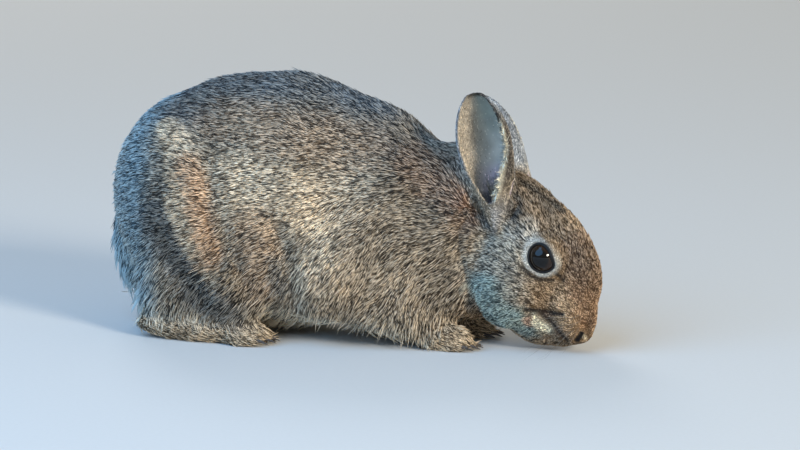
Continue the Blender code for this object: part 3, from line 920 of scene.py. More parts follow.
# Where the coat is darker or paler as a whole, mostly painted light and shade and a few patches of its own:
# times what, path of its middle, half width
PAINTED_LIGHT_AND_TONES = (
    # back and top of the flank: painted shade over the back, painted light on the top of the flank
    (0.50, ((-99, 19, 124), (-65, 30, 128)), 12),
    (0.6, ((-78, 13, 137), (-15, 10, 141)), 13),
    (0.58, ((-21, 31, 130), (2, 20, 128), (31, 17, 117)), 13),
    (0.65, ((-62, 39, 115), (-60, 40, 112)), 8),
    (1.2, ((-57, 47, 104), (-44, 47, 100)), 9),
    (0.88, ((-50, 38, 116), (10, 32, 112)), 12),
    (0.70, ((-12, 43, 105), (9, 33, 105), (47, 22, 105)), 11),
    # flank, haunch and shoulder: painted light on the flank, the elbow and the chest, painted shade on the
    # rump, under the thigh, below the elbow and on the shoulder
    (1.22, ((-43, 51, 88), (-15, 47, 82), (-2, 45, 70)), 15),
    (0.55, ((44, 33, 94), (60, 24, 94), (62, 28, 82)), 14),
    (0.55, ((-98, 54, 84), (-94, 56, 62)), 9),
    (0.28, ((-88, 56, 62), (-80, 55, 44), (-69, 53, 28), (-58, 52, 20)), 9),
    (0.60, ((-50, 53, 34), (-42, 50, 22)), 9),
    (0.70, ((-42, 51, 50), (-34, 50, 44)), 8),
    (0.75, ((-60, 56, 48), (-36, 50, 30)), 11),
    (1.5, ((-6, 46, 65), (8, 45, 63)), 11),
    (1.5, ((-15, 47, 50), (13, 46, 52)), 10),
    (1.5, ((-16, 47, 38), (-16, 44, 22)), 6),
    (0.50, ((12, 43, 25), (16, 42, 21)), 9),
    (1.45, ((36, 34, 40), (42, 33, 38)), 9),
    (0.72, ((62, 24, 40), (61, 22, 24)), 9),
    (1.25, ((75, 22, 54), (75, 21, 30)), 5),
    (0.85, ((30, 36, 80), (50, 30, 70)), 16),
    # head and nape: painted shade on the crown, the nape and the front of the face, and paler patches low on
    # the muzzle and under the mouth
    (0.50, ((101, 18, 82), (102, 20, 70)), 8),
    (1.3, ((90, 24, 80), (91, 24, 72)), 4),
    (0.45, ((97, 4, 95), (108, 6, 88), (118, 6, 80)), 10),
    (0.42, ((40, 16, 112), (60, 12, 100)), 12),
    (0.85, ((118, 12, 66), (128, 10, 60), (132, 8, 44)), 8),
    (0.55, ((112, 8, 82), (117, 12, 70)), 8),
    (0.78, ((126, 10, 68), (131, 11, 48)), 7),
    (0.66, ((136, 4, 60), (141, 2, 40)), 9),
    (1.55, ((129, 12, 36), (126, 14, 26), (132, 12, 16)), 7),
    (1.4, ((111.5, 14.2, 17.4), (115.0, 13.6, 14.8)), 4.2),
    (1.1, ((86, 24, 30), (96, 22, 20)), 9),
    # two small dark flecks on the side
    (0.60, ((-6, 39, 108), (-3, 39, 107)), 3.5),
    (0.60, ((-44, 52, 74), (-42, 52, 74)), 3.5),
)


def ground_colour(points, normals, weights):
    """The colour of the coat by how high on the body a place is and which way it faces, with painted shade
    on the top of the back and on the rump.
    """
    x, y, z = points.T
    upward = normals[:, 2]
    colour = np.tile(GREY_BROWN, (len(points), 1))
    # painted shade and a painted blue sky sheen on the top of the back, over its own darker slate fur
    colour = lay(colour, SLATE_AND_SHADE, 0.95 * smooth_step(0.52, 0.92, upward) * smooth_step(96, 124, z))
    # the rump's grey, with painted bluish shade where the rear turns away from the light
    colour = lay(colour, RUMP_GREY_AND_SHADE, 0.85 * smooth_step(-88, -108, x))
    colour = lay(colour, PALE_BELLY, 0.7 * smooth_step(26, 8, z) * smooth_step(60, 30, x))
    colour = lay(colour, PALE_BELLY, 0.9 * smooth_step(-0.5, -0.9, upward))
    colour = lay(colour, HEAD_BROWN, share_of(weights, "head"))
    colour = lay(colour, FOOT_BUFF, np.clip(share_of(weights, "hind_foot", "fore_foot") * 1.3, 0, 1))
    tail = np.clip(share_of(weights, "tail") * 1.5, 0, 1)
    beneath = smooth_step(0.1, 0.6, normals[:, 0] * 0.7 - upward * 0.7)
    colour = lay(colour, RUMP_GREY_AND_SHADE, tail)
    colour = lay(colour, TAIL_DARK, 0.8 * tail * smooth_step(9, 4, np.abs(y)) * smooth_step(40, 60, z))
    return lay(colour, TAIL_WHITE, tail * np.maximum(beneath, smooth_step(24, 17, z)))


def paint_eye_rings(colour, points):
    """A pale ring round each eye, wider at its corners and faint under the brow."""
    for past, turn, mine in round_eyes(points):
        near, far = np.maximum(np.cos(turn), 0), np.maximum(-np.cos(turn), 0)
        width = 1.8 + 1.0 * far + 1.3 * near
        ring = smooth_step(width + 1.5, width - 0.8, past) * mine
        brow = smooth_step(0.2, 0.9, np.sin(turn)) * smooth_step(-0.75, -0.1, np.cos(turn))
        colour = lay(colour, EYE_RING, ring * (0.88 - 0.55 * brow))
    return colour


def ear_back_colour(count, side, along, front):
    """The back of an ear: bluish grey, browner low down, with a dark strip near its front edge, painted
    darker as shade on the right ear.
    """
    # the strip is the fur's own dark ticking, with painted shade making it stronger on the right ear, which
    # lies in shadow
    strip = smooth_step(0.95, 0.7, along) * smooth_step(0.1, 0.3, along) * (0.65 - 0.35 * side)
    tone = np.tile(EAR_BACK, (count, 1))
    tone = lay(tone, EAR_DARK, 0.95 * strip * smooth_step(0.45, 0.65, front))
    tone = lay(tone, EAR_FRONT, 0.8 * strip * smooth_step(0.90, 0.97, front))
    tone = lay(tone, EAR_FRONT, 0.8 * smooth_step(0.75, 0.3, along) * smooth_step(0.6, -0.4, front))
    return lay(tone, EAR_FRONT, 0.6 * smooth_step(0.4, 0.25, along))


def ear_hollow_colour(count, along, front):
    """The inside of an ear: bare, lilac low down, tan behind and white by the front edge."""
    tone = np.tile(EAR_BARE, (count, 1))
    tone = lay(tone, EAR_SHADOW, smooth_step(0.45, 0.8, along))
    tone = lay(tone, EAR_LILAC, smooth_step(0.45, 0.3, along))
    tone = lay(tone, EAR_TAN, smooth_step(0.10, -0.45, front))
    white = smooth_step(0.5, 0.72, front) * smooth_step(1.06, 1.02, front)
    return lay(tone, EAR_WHITE, 0.95 * white * smooth_step(0.9, 0.78, along) * smooth_step(0.22, 0.3, along))


def paint_ears(colour, points, weights, ear_side):
    """Back, inside and rims of the ears."""
    ear_share = np.clip(share_of(weights, "ear") * 1.6 - 0.3, 0, 1)
    for ear in EARS.values():
        along, share, lift = ear.coordinates(points)
        front = ear.front(share)
        inside = smooth_step(0.2, -0.2, lift)
        tone = ear_back_colour(len(points), ear.side, along, front)
        tone = lay(tone, ear_hollow_colour(len(points), along, front), inside)
        # painted shade, near black, at the bottom of the hollow
        tone = lay(tone, DEEP_SHADE, 0.7 * inside * smooth_step(0.26, 0.2, along))
        edge = smooth_step(0.88, 0.94, front) * smooth_step(1.08, 1.04, front)
        tone = lay(tone, EAR_WHITE, edge * smooth_step(0.8, 0.7, along) * smooth_step(0.2, 0.28, along))
        rim = smooth_step(0.88, 0.95, front) * smooth_step(0.7, 0.8, along)
        rim = np.maximum(rim, smooth_step(0.93, 0.965, along) * smooth_step(-1.0, -0.4, front))
        rim = np.maximum(rim, 0.5 * smooth_step(0.95, 0.99, -front))
        tone = lay(tone, BLACK_FUR_AND_CREASE_SHADE, 0.9 * rim)
        colour = lay(colour, tone, ear_share * (ear_side == ear.side))
    return colour


def markings_light_and_shade(points, normals, weights, ear_side):
    """The colour of skin and coat at each place, with its painted light and shade."""
    colour = ground_colour(points, normals, weights)
    place = folded(points)
    uneven = ripple(place, 4, 14)
    for over, strength, path, half_width in MARKS:
        away = away_from(place, path) / half_width
        colour = lay(colour, over, strength * smooth_step(1.2, 0.45, away + 0.1 * uneven))
    # painted light and shade, and a few of the coat's own tones, multiply the colour
    for factor, path, half_width in PAINTED_LIGHT_AND_TONES:
        tone_and_light_mask = smooth_step(1.4, 0.2, distance_to_path(place, path) / half_width)
        colour = colour * (1 + (factor - 1) * tone_and_light_mask)[:, None]
    colour = paint_eye_rings(colour, points)
    colour = paint_ears(colour, points, weights, ear_side)
    # painted shade, near black, in the openings of the nostrils
    colour = lay(colour, NOSTRIL_SHADE, smooth_step(1.5, 0.8, away_from(place, NOSTRIL)))
    mottle = 1 + 0.10 * ripple(points, 13, 11) + 0.09 * ripple(points, 6, 12) + 0.06 * ripple(points, 3, 13)
    return np.clip(colour * mottle[:, None], 0.004, 0.95)


# ---------------------------------------------------------------- tufts

# The four corners of a tuft are its root, its two sides half way along and its tip
TUFT_FACES = np.array([(0, 2, 1), (3, 1, 2), (0, 1, 3), (0, 3, 2)])
TUFT_ALONG = np.array((0.0, 0.5, 0.5, 1.0))
TUFT_ACROSS = np.array((0.5, 1.0, 0.0, 0.5))
PATCH = 0.003  # width of a tuft's patch on the map for baking


class Tufts:
    """Roots of tufts spread over the skin, with the way each lies and its size."""

    def __init__(self, skin, lie, density, seed):
        chance = np.random.default_rng(seed)
        amounts = skin.face_areas() * density[skin.faces].mean(axis=1)
        total = np.cumsum(amounts)
        count = int(total[-1])
        spots = (np.arange(count) + chance.uniform(size=count)) * (total[-1] / count)
        face = np.minimum(np.searchsorted(total, spots), len(total) - 1)
        first, second = chance.uniform(size=(2, count))
        flip = first + second > 1
        first, second = np.where(flip, 1 - first, first), np.where(flip, 1 - second, second)
        self.corners = skin.faces[face]
        self.shares = np.stack([1 - first - second, first, second], axis=1)
        self.root = self.of(skin.points)
        self.normal = unit(self.of(skin.normals()))
        self.lie = unit(flat_to(self.of(lie), self.normal))
        self.weights = self.of(skin.weights)
        self.ear_side = np.sign(self.of(skin.ear_side))
        self.chance = chance
        self.length = by_region(self.weights, LENGTH)
        self.width = by_region(self.weights, WIDTH)
        self.rise = by_region(self.weights, RISE)

    def of(self, values):
        """A value of the skin's points at each root."""
        picked = values[self.corners]
        shares = self.shares if values.ndim == 1 else self.shares[:, :, None]
        return (picked * shares).sum(axis=1)

    def __len__(self):
        return len(self.root)

    def across(self):
        """Sideways over the skin from the way each tuft lies."""
        return np.cross(self.normal, self.lie)

    def vary(self, spread):
        return np.maximum(1 + spread * self.chance.normal(size=len(self)), 0.0)

    def scale(self, where, length=0.0, width=0.0, rise=0.0):
        """Makes tufts longer, wider or steeper by these shares, as much as where says."""
        self.length = self.length * (1 + length * where)
        self.width = self.width * (1 + width * where)
        self.rise = self.rise * (1 + rise * where)


def coat_density(skin):
    """Tufts for each square millimetre at each point of the skin."""
    density = by_region(skin.weights, CLOSENESS)
    place = folded(skin.points)
    for path, _, _, bareness in FACE_FOLDS:
        density *= 1 - bareness * smooth_step(1.3, 0.7, away_from(place, path))
    for past, _, mine in round_eyes(skin.points):
        density[(past < 0.9) & mine & (share_of(skin.weights, "ear") < 0.2)] = 0.0
    for ear in EARS.values():
        along, share, lift = ear.coordinates(skin.points)
        front = ear.front(share)
        bare = smooth_step(0.2, -0.2, lift) * smooth_step(0.9, 0.8, front)
        bare *= smooth_step(0.97, 0.9, along) * (0.45 + 0.55 * smooth_step(-0.5, 0.0, front))
        mine = ear.owns(skin)
        density[mine] *= (1 - 0.96 * bare)[mine]
    density[skin.points[:, 2] < 1.0] = 0.0
    return density


def shape_tufts(tufts):
    """Shorter, finer and flatter tufts on the snout, round the eyes and along the lines of the head."""
    points, place = tufts.root, folded(tufts.root)
    head = share_of(tufts.weights, "head")
    along_face, _ = head_place(points)
    tufts.scale(head * smooth_step(0.75, 0.0, along_face), length=-0.62, width=-0.2)
    for past, _, mine in round_eyes(points):
        tufts.scale(smooth_step(7.0, 1.0, past) * mine * (head > 0.5), length=-0.6, width=-0.3, rise=-0.3)
    low = smooth_step(30, 8, points[:, 2]) * (share_of(tufts.weights, "trunk") > 0.3)
    tufts.scale(low, length=0.15)
    top = smooth_step(0.3, 0.9, tufts.normal[:, 2]) * (points[:, 2] > 60)
    tufts.scale(top, rise=-0.35)
    creases = np.minimum(distance_to_path(place, EAR_FRONT_CREASE), distance_to_path(place, EAR_REAR_CREASE))
    by_crease = smooth_step(7.0, 2.5, creases)
    tufts.length = tufts.length * (1 - by_crease) + np.minimum(tufts.length, BY_EAR_LENGTH) * by_crease
    by_line = np.min([away_from(place, line) for line in FACE_LINES], axis=0)
    tufts.scale(smooth_step(3.2, 1.0, by_line), length=-0.65)
    tufts.scale(smooth_step(4.0, 2.0, distance_to_path(place, CROWN_FOLD)), length=-0.6)


def shape_ear_tufts(tufts):
    """Long fine hair along the front edge of each ear, and short hair at its tip."""
    for ear in EARS.values():
        along, share, lift = ear.coordinates(tufts.root)
        mine = (share_of(tufts.weights, "ear") > 0.6) * (tufts.ear_side == ear.side)
        fringe = smooth_step(0.86, 0.93, ear.front(share)) * smooth_step(0.8, 0.5, lift)
        fringe = fringe * smooth_step(0.84, 0.7, along) * smooth_step(0.2, 0.3, along)
        tufts.scale(mine * fringe * (0.6 - 0.4 * ear.side), length=1.6, width=-0.6, rise=-0.5)
        tufts.scale(mine * smooth_step(0.85, 0.95, along), length=-0.5)


def vary_tufts(tufts):
    """Picks the guard hairs, and gives each tuft its own size and a swirl to its lie."""
    chance, points = tufts.chance, tufts.root
    tufts.guard = chance.uniform(size=len(tufts)) < GUARD_SHARE
    low = smooth_step(62, 36, points[:, 2]) * (1 - share_of(tufts.weights, "head"))
    tufts.scale(tufts.guard, length=GUARD_LENGTH - 1 + GUARD_LENGTH_LOW * low, width=GUARD_WIDTH - 1)
    tufts.length = tufts.length * np.clip(tufts.vary(0.18), 0.5, 1.5)
    tufts.width = tufts.width * np.clip(tufts.vary(0.28), 0.45, 1.8)
    tufts.rise = np.radians(np.clip(tufts.rise * np.maximum(tufts.vary(0.22), 0.2), 4, 60))
    swirl = 9 * ripple(points, 16, 21) + 5 * ripple(points, 5, 22) + 6 * chance.normal(size=len(tufts))
    swirl = np.radians(swirl)[:, None]
    tufts.lie = tufts.lie * np.cos(swirl) + tufts.across() * np.sin(swirl)


def tuft_normals(tufts):
    """Which way each tuft shades: mostly as the skin beneath it, a little rounded across itself."""
    aside = tufts.across() * 0.5
    middle = tufts.normal + tufts.lie * 0.12
    own = np.stack([tufts.normal, middle + aside, middle - aside, tufts.normal + tufts.lie * 0.25], axis=1)
    tilt = tufts.chance.normal(size=(len(tufts), 1, 3)) * 0.16
    return unit(own + tilt)


def tuft_points(tufts):
    """The four corners of every tuft."""
    aside = tufts.across() * tufts.width[:, None] / 2
    ahead = tufts.lie * (tufts.length * np.cos(tufts.rise))[:, None]
    above = tufts.normal * (tufts.length * np.sin(tufts.rise))[:, None]
    tip = tufts.root + ahead + above
    pull = clump(tufts, tip)
    middle = tufts.root + ahead * 0.5 + above * 0.68 + pull * MIDDLE_PULL
    root = tufts.root - tufts.normal * TUFT_SINK
    points = np.stack([root, middle + aside, middle - aside, tip + pull * TIP_PULL], axis=1)
    points[:, :, 2] = np.maximum(points[:, :, 2], TUFT_LOWEST)
    return points


def clump(tufts, tips):
    """How far each tip is from the tip of the lock that it belongs to."""
    picked = tufts.chance.permutation(len(tufts))[: len(tufts) // TUFTS_IN_A_LOCK]
    tree = KDTree(len(picked))
    for index, place in zip(picked.tolist(), tufts.root[picked].tolist()):
        tree.insert(place, index)
    tree.balance()
    leader = np.array([tree.find(place)[1] for place in tufts.root.tolist()])
    gap = tips[leader] - tips
    far = np.linalg.norm(gap, axis=1, keepdims=True)
    return gap * np.minimum(1.0, LOCK_REACH / np.maximum(far, 1e-6))


def tick_values(tufts):
    """How dark or pale each tuft is, from 0 to 1, in small streaks along the lie of the coat."""
    stretched = tufts.root + tufts.lie * tufts.chance.uniform(-1, 1, (len(tufts), 1))
    streak = 0.45 * (ripple(stretched, 1.7, 31) + ripple(stretched, 0.9, 32))
    along_face, _ = head_place(tufts.root)
    snout = share_of(tufts.weights, "head") * smooth_step(0.6, 0.2, along_face)
    value = 0.5 + (0.40 + 0.14 * snout) * streak + 0.40 * tufts.chance.normal(size=len(tufts))
    value = value - 0.4 * (value - 0.5) * share_of(tufts.weights, "ear")
    for past, _, mine in round_eyes(tufts.root):
        ring = smooth_step(4.5, 2.5, past) * mine
        value = value + (0.6 + 0.25 * (value - 0.5) - value) * ring
    return np.clip(np.where(tufts.guard, 0.95, value), 0, 1)


def grow_coat(skin, lie):
    """All the tufts, each with its corners, the way they shade, its colour and its tick."""
    tufts = Tufts(skin, lie, coat_density(skin), COAT_SEED)
    shape_tufts(tufts)
    shape_ear_tufts(tufts)
    vary_tufts(tufts)
    tufts.points = tuft_points(tufts)
    tufts.shading = tuft_normals(tufts)
    tufts.colour = markings_light_and_shade(tufts.root, tufts.normal, tufts.weights, tufts.ear_side)
    tufts.tick = tick_values(tufts)
    return tufts


def spread(values):
    """Values brought to 0 to 1 by their lowest and highest."""
    low, high = values.min(), values.max()
    return (values - low) / max(high - low, 1e-9)


def coat_piece(name, tufts, chosen, across, along, material):
    """One piece of the coat, with its map for baking: a small patch for each tuft where its root is."""
    count, corners_each = int(chosen.sum()), len(TUFT_ALONG)
    faces = (np.arange(count)[:, None, None] * corners_each + TUFT_FACES).reshape(-1, 3)
    mesh = make_mesh(name, tufts.points[chosen].reshape(-1, 3), faces)
    mesh.normals_split_custom_set_from_vertices(tufts.shading[chosen].reshape(-1, 3).tolist())
    set_values(mesh, "marking", np.repeat(tufts.colour[chosen], corners_each, axis=0))
    set_values(mesh, "tick", np.repeat(tufts.tick[chosen], corners_each))
    set_values(mesh, "along", np.tile(TUFT_ALONG, count))
    set_values(mesh, "across", np.tile(TUFT_ACROSS, count))
    patch = np.stack([TUFT_ACROSS - 0.5, TUFT_ALONG - 0.5], axis=1) * PATCH
    spots = np.stack([spread(across[chosen]), spread(along[chosen])], axis=1)
    spots = PATCH + spots * (1 - 2 * PATCH)
    corners = (spots[:, None, :] + patch).reshape(-1, 2)[faces.ravel()]
    mesh.uv_layers.new(name="OFBake").data.foreach_set("uv", corners.astype(np.float32).ravel())
    obj = add_object(name, mesh, material)
    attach(obj, "root")


# ---------------------------------------------------------------- materials


class Wire:
    """A value in a material, with the arithmetic that adds its nodes."""

    def __init__(self, paint, socket):
        self.paint, self.socket = paint, socket

    def maths(self, operation, other):
        return self.paint.add("ShaderNodeMath", dict(operation=operation), [self, other])

    def __add__(self, other):
        return self.maths("ADD", other)

    def __mul__(self, other):
        return self.maths("MULTIPLY", other)

    def __sub__(self, other):
        return self.maths("SUBTRACT", other)

    def __rsub__(self, other):
        return self.maths("MULTIPLY", -1.0) + other

    __radd__ = __add__
    __rmul__ = __mul__


class Paint:
    """One material. finish holds what is the same all over it."""

    def __init__(self, name, **finish):
        self.material = bpy.data.materials.new(name)
        self.material.use_nodes = True
        self.nodes, self.links = self.material.node_tree.nodes, self.material.node_tree.links
        self.shader = self.nodes["Principled BSDF"]
        for socket, value in finish.items():
            self.shader.inputs[socket.replace("_", " ")].default_value = value

    def add(self, kind, settings, inputs, output=0):
        """A node with its settings and inputs, by order or by name. Returns one of its outputs."""
        node = self.nodes.new(kind)
        for key, value in settings.items():
            setattr(node, key, value)
        named = inputs.items() if isinstance(inputs, dict) else enumerate(inputs)
        for key, value in named:
            self.feed(node.inputs[key], value)
        return Wire(self, node.outputs[output])

    def feed(self, socket, value):
        if isinstance(value, Wire):
            self.links.new(value.socket, socket)
        elif socket.type == "RGBA":
            socket.default_value = (*value, 1.0)
        else:
            socket.default_value = value

    def number(self, name):
        return self.add("ShaderNodeAttribute", dict(attribute_name=name), [], "Fac")

    def colour(self, name):
        return self.add("ShaderNodeAttribute", dict(attribute_name=name), [], "Color")

    def noise(self, scale, detail=2.0, roughness=0.5):
        place = self.add("ShaderNodeTexCoord", {}, [], "Object")
        sockets = {"Vector": place, "Scale": scale, "Detail": detail, "Roughness": roughness}
        return self.add("ShaderNodeTexNoise", {}, sockets, "Fac")

    def steps(self, value, low, high):
        """0 below low and 1 above high, smoothly."""
        settings = dict(interpolation_type="SMOOTHSTEP")
        return self.add("ShaderNodeMapRange", settings, {0: value, 1: low, 2: high})

    def mix(self, under, over, share, blend="MIX"):
        settings = dict(data_type="RGBA", blend_type=blend)
        return self.add("ShaderNodeMix", settings, {0: share, 6: under, 7: over}, 2)

    def set(self, **inputs):
        for name, value in inputs.items():
            self.feed(self.shader.inputs[name.replace("_", " ")], value)
        return self.material

    def bump(self, height, strength, distance):
        sockets = {"Height": height, "Strength": strength, "Distance": distance}
        return self.add("ShaderNodeBump", {}, sockets)


def fur_material():
    """Agouti fur: grey at the root, a pale or dark band by the tuft's own tick, and a dark tip."""
    paint = Paint("fur", Specular_IOR_Level=0.25)
    marking, tick, along = paint.colour("marking"), paint.number("tick"), paint.number("along")
    tick = tick + 0.36 * (paint.number("across") - 0.5)
    dark = paint.mix(marking, (0.16, 0.155, 0.155), 1.0, "MULTIPLY")
    pale = paint.mix(marking, (1.0, 0.92, 0.80), 0.12)
    pale = paint.mix(pale, (2.35, 2.28, 2.16), 1.0, "MULTIPLY")
    band = paint.mix(dark, marking, paint.steps(tick, 0.12, 0.52))
    band = paint.mix(band, pale, paint.steps(tick, 0.50, 0.95))
    root = paint.mix(marking, (0.50, 0.50, 0.53), 1.0, "MULTIPLY")
    colour = paint.mix(root, band, paint.steps(along, 0.05, 0.5))
    tip = paint.steps(along, 0.72, 1.0) * paint.steps(tick, 0.75, 0.25)
    colour = paint.mix(colour, dark, tip * 0.6)
    return paint.set(Base_Color=colour, Roughness=0.62 + 0.2 * tick)


def skin_material():
    """Short fur lying flat, seen between the tufts and on the barest places."""
    paint = Paint("skin", Specular_IOR_Level=0.25)
    fine, coarse = paint.noise(2600.0, 3.0, 0.7), paint.noise(700.0, 3.0, 0.6)
    marking, bare = paint.colour("marking"), paint.number("bare")
    shaded = paint.mix(marking, (0.45, 0.43, 0.42), 1.0, "MULTIPLY")
    colour = paint.mix(shaded, marking, bare)
    # painted shade: near-black flecks where the gaps between the hairs fall dark, fewest on bare skin
    gaps = paint.steps(fine, 0.52, 0.75) * (0.45 - 0.4 * bare)
    colour = paint.mix(colour, (0.02, 0.016, 0.014), gaps)
    bump = paint.bump(fine * 0.6 + coarse * 0.4, 0.35, 0.0004)
    return paint.set(Base_Color=colour, Roughness=0.55 + 0.25 * fine, Normal=bump)


def eye_material():
    """A near-black eye, its dark brown iris showing round the edge."""
    paint = Paint("eye", Roughness=0.03, Specular_IOR_Level=0.38)
    streaks = paint.noise(900.0, 3.0, 0.6)
    brown = paint.mix((0.010, 0.005, 0.003), (0.026, 0.012, 0.006), streaks)
    return paint.set(Base_Color=paint.mix((0.002, 0.002, 0.0025), brown, paint.number("iris")))


def plain_material(name, colour, roughness, grain, bump_distance, **finish):
    """One colour with a fine grain in its shade and in its surface."""
    paint = Paint(name, **finish)
    noise = paint.noise(grain, 3.0, 0.6)
    shade = paint.mix(colour, [0.6 * part for part in colour], paint.steps(noise, 0.35, 0.8))
    bump = paint.bump(noise, 0.3, bump_distance)
    return paint.set(Base_Color=shade, Roughness=roughness + 0.15 * noise, Normal=bump)


# ---------------------------------------------------------------- eyes, lids, claws, whiskers


def build_eye(tag, material):
    """The ball of the eye, with its clear front standing out a little over the iris."""
    centre, look, _, _ = eye_axes(SIDES[tag])
    points, faces = ball(np.zeros(3), 1.0, 96, 64)
    axis = unit(np.cross(look, (0.0, 0.0, 1.0)))
    ahead = points[:, 2]
    reach = EYE_RADIUS + CORNEA_RISE * smooth_step(0.72, 0.95, ahead)
    placed = centre + (points @ np.array([axis, np.cross(axis, look), look])) * reach[:, None]
    mesh = make_mesh("eye_" + tag, placed, outward(placed, faces))
    set_values(mesh, "iris", smooth_step(0.86, 0.78, ahead))
    return add_object("looks_eye_" + tag, mesh, material)


def build_lid(tag, material):
    """The dark bare edge of the lids, a rounded lip that follows the ball and is fuller above, where its
    dark also stands for the shadow of the upper lid on the ball.
    """
    centre, look, corner, across = eye_axes(SIDES[tag])
    rings = []
    for turn in np.linspace(0, 2 * math.pi, 96, endpoint=False):
        flat = corner * math.cos(turn) + across * math.sin(turn)
        opening = float(lid_opening(turn))
        # the lip is wider and fuller above, so that its dark stands in for the shadow of the upper lid
        above = max(math.sin(turn + 0.4), 0.0)
        lip = []
        for angle in np.linspace(0, 2 * math.pi, 12, endpoint=False):
            past = 0.6 - 0.3 * above + (0.9 + 0.3 * above) * math.cos(angle)
            height = float(ball_height(opening)) + 0.35 + (0.7 + 0.2 * above) * math.sin(angle)
            lip.append(centre + flat * (opening + past) + look * (height - 0.28 * past))
        rings.append(lip)
    rings.append(rings[0])
    points, faces = merged(*tube(rings, close_ends=False))
    return add_object("lid_" + tag, make_mesh("lid_" + tag, points, faces), material)


def tapered(centres, radii, first, second, turns):
    """A tapering tube along its centres, with a corner at each turn from first towards second."""
    round_it = np.outer(np.cos(turns), first) + np.outer(np.sin(turns), second)
    return tube([centre + radius * round_it for centre, radius in zip(centres, radii)])


def resting(shape, lowest):
    """A shape with nothing lower than this."""
    points, faces = shape
    return np.column_stack([points[:, :2], np.maximum(points[:, 2], lowest)]), faces


def build_claws(material):
    """Curved claws that start inside the toes and narrow to a point."""
    along = np.linspace(0, 0.97, 12)
    turns = np.linspace(0, 2 * math.pi, 12, endpoint=False)
    shapes = []
    for _, root, yaw in claw_roots():
        ahead = np.array((math.cos(yaw), math.sin(yaw), 0.0))
        aside = np.array((-math.sin(yaw), math.cos(yaw), 0.0))
        centres = root + np.outer(CLAW_LENGTH * along, ahead) - np.outer(CLAW_DROOP * along**2, (0, 0, 1))
        radii = CLAW_RADIUS * 0.92 * (1.0 - along) ** 0.6
        claw = tapered(centres, radii, aside * 0.72, (0, 0, 1), turns)
        shapes.append(resting(claw, CLAW_LOWEST))
    return add_object("claws", make_mesh("claws", *joined(shapes)), material)


def build_whiskers(material, chance):
    """Three rows of four on each side of the snout, longest at the back and drooping backwards."""
    along = np.linspace(0, 1, 7)
    shapes = []
    x, y, z = WHISKER_FIRST
    rows, places = range(WHISKER_ROWS), range(WHISKERS_IN_A_ROW)
    for side, row, place in itertools.product(SIDES.values(), rows, places):
        root = (x - 2.2 * place, side * (y - 0.3 * row), z - 3.4 * row - 0.8 * place)
        aim = np.array((-0.15 - 0.12 * place, side, 0.12 - 0.3 * row))
        aim = unit(aim + chance.normal(size=3) * 0.12)
        length = WHISKER_LENGTH + 3 * place + chance.uniform(-4, 4)
        centres = root + np.outer(length * along, aim) + np.outer(along**2, WHISKER_DROOP)
        first = np.cross(aim, (0, 0, 1.0))
        radii = WHISKER_RADIUS * (1 - along) + 0.02
        whisker = tapered(centres, radii, first, np.cross(aim, first), (0, 2.1, 4.2))
        shapes.append(resting(whisker, WHISKER_LOWEST))
    return add_object("whiskers", make_mesh("whiskers", *joined(shapes)), material)


# ---------------------------------------------------------------- studio


def area_light(name, place, size, power, colour):
    data = bpy.data.lights.new(name, "AREA")
    data.shape, data.size, data.energy, data.color = "DISK", size, power, colour
    light = bpy.data.objects.new(name, data)
    bpy.context.scene.collection.objects.link(light)
    light.location = place
    towards = Vector(LIT_PLACE) - light.location
    light.rotation_euler = towards.to_track_quat("-Z", "Y").to_euler()


def build_floor():
    paint = Paint("floor paper", Roughness=0.9, Specular_IOR_Level=0.2)
    colour = paint.mix(*FLOOR_COLOURS, paint.noise(400.0))
    half = FLOOR_SIZE / MM / 2
    corners = np.array([(-half, -half, 0), (half, -half, 0), (half, half, 0), (-half, half, 0)]) - SHIFT
    mesh = make_mesh("floor", corners, np.array([(0, 1, 2, 3)]))
    add_object("floor", mesh, paint.set(Base_Color=colour))


def build_lights():
    world = bpy.data.worlds.new("studio")
    world.use_nodes = True
    background = world.node_tree.nodes["Background"]
    background.inputs["Color"].default_value = (*ROOM_COLOUR, 1.0)
    background.inputs["Strength"].default_value = ROOM_STRENGTH
    bpy.context.scene.world = world
    for light in LIGHTS:
        area_light(*light)
    bpy.context.scene.view_settings.view_transform = "Standard"


def build_camera():
    turn, rise = math.radians(CAMERA_AZIMUTH), math.radians(CAMERA_ELEVATION)
    view = Vector((-math.sin(turn) * math.cos(rise), math.cos(turn) * math.cos(rise), -math.sin(rise)))
    right = Vector((math.cos(turn), math.sin(turn), 0.0))
    aim = right * AIM_ACROSS + right.cross(view) * AIM_UP
    data = bpy.data.cameras.new("camera")
    data.lens, data.sensor_width, data.clip_end = CAMERA_LENS, 36.0, 50.0
    camera = bpy.data.objects.new("camera", data)
    bpy.context.scene.collection.objects.link(camera)
    camera.location = aim - view * CAMERA_DISTANCE
    camera.rotation_euler = view.to_track_quat("-Z", "Y").to_euler()
    bpy.context.scene.camera = camera


# ---------------------------------------------------------------- the whole animal


def show_skin(skin):
    """The skin as one piece in place of all the solids of flesh."""
    mesh = make_mesh("skin", skin.points, skin.faces)
    set_values(mesh, "marking", markings_light_and_shade(skin.points, skin.normals(), skin.weights, skin.ear_side))
    bare = np.zeros(len(skin.points))
    for ear in EARS.values():
        _, _, lift = ear.coordinates(skin.points)
        bare = np.where(ear.owns(skin), 0.4 + 0.6 * smooth_step(0.2, -0.2, lift), bare)
    set_values(mesh, "bare", bare)
    obj = add_object("skin", mesh, skin_material())
    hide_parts(*[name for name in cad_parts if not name.startswith("eye")])
    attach(obj, "root")


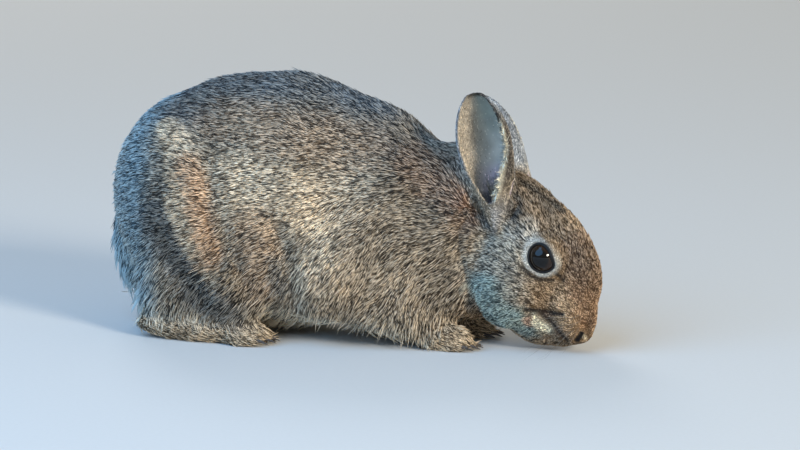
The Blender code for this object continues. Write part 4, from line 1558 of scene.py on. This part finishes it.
def show_body_coat(tufts, region, material):
    """Six lengthwise strips of the same number of tufts, from the right of the belly over the back."""
    x, y, z = tufts.root.T
    body = np.isin(region, BODY)
    turn = np.abs(np.arctan2(y, BODY_AXIS_HEIGHT - z))  # 0 straight below, pi straight above
    turn = np.where(y < 0, turn, 2 * math.pi - turn)
    names = [f"coat_{part}_right" for part in ("belly", "flank", "back")]
    names += [f"coat_{part}_left" for part in ("back", "flank", "belly")]
    bounds = np.quantile(turn[body], np.linspace(0, 1, len(names) + 1))
    bounds[0], bounds[-1] = -np.inf, np.inf
    for name, low, high in zip(names, bounds, bounds[1:]):
        coat_piece(name, tufts, body & (turn >= low) & (turn < high), x, turn, material)


def show_coat(tufts, material):
    """The coat in pieces. Each one's map runs along it one way and round it the other."""
    region = np.array(REGIONS)[tufts.weights.argmax(axis=1)]
    show_body_coat(tufts, region, material)
    x, y, z = tufts.root.T
    along_face, behind = head_place(tufts.root)
    for tag, side in SIDES.items():
        mine = (y > 0) == (side > 0)
        chosen = mine & (region == "head")
        around = np.arctan2(behind - 12, np.abs(y) + 4)
        coat_piece(f"coat_head_{tag}", tufts, chosen, along_face, around, material)
        chosen = (tufts.ear_side == side) & (region == "ear")
        along, share, lift = EARS[tag].coordinates(tufts.root)
        around = np.clip(share, -1.1, 1.1) + 2.4 * (lift > 0)
        coat_piece(f"coat_ear_{tag}", tufts, chosen, along, around, material)
        for foot, (_, middle, _, _) in TOES.items():
            chosen = mine & (region == f"{foot}_foot")
            around = np.arctan2(np.abs(y) - middle, z - 4)
            coat_piece(f"coat_{foot}_foot_{tag}", tufts, chosen, x, around, material)
    around = np.arctan2(y, -(x + 118))
    coat_piece("coat_tail", tufts, region == "tail", z, around, material)


def show_eyes():
    eye_paint = eye_material()
    lid_paint = plain_material("lid", (0.010, 0.010, 0.011), 0.5, 3000.0, 0.0002, Specular_IOR_Level=0.3)
    for tag in SIDES:
        eye = build_eye(tag, eye_paint)
        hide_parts("eye_" + tag)
        for obj in (eye, build_lid(tag, lid_paint)):
            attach(obj, "root")


def clear_start():
    for name in ("Cube", "Light", "Camera"):
        if name in bpy.data.objects:
            bpy.data.objects.remove(bpy.data.objects[name])


def build_rabbit():
    skin = build_skin()
    show_skin(skin)
    show_coat(grow_coat(skin, lie_field(skin)), fur_material())
    show_eyes()
    claw_paint = plain_material("claw", (0.075, 0.055, 0.042), 0.35, 1500.0, 0.0001)
    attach(build_claws(claw_paint), "root")
    whisker_paint = plain_material("whisker", (0.20, 0.18, 0.16), 0.45, 900.0, 0.00005)
    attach(build_whiskers(whisker_paint, np.random.default_rng(WHISKER_SEED)), "root")


clear_start()
build_rabbit()
build_floor()
build_lights()
build_camera()
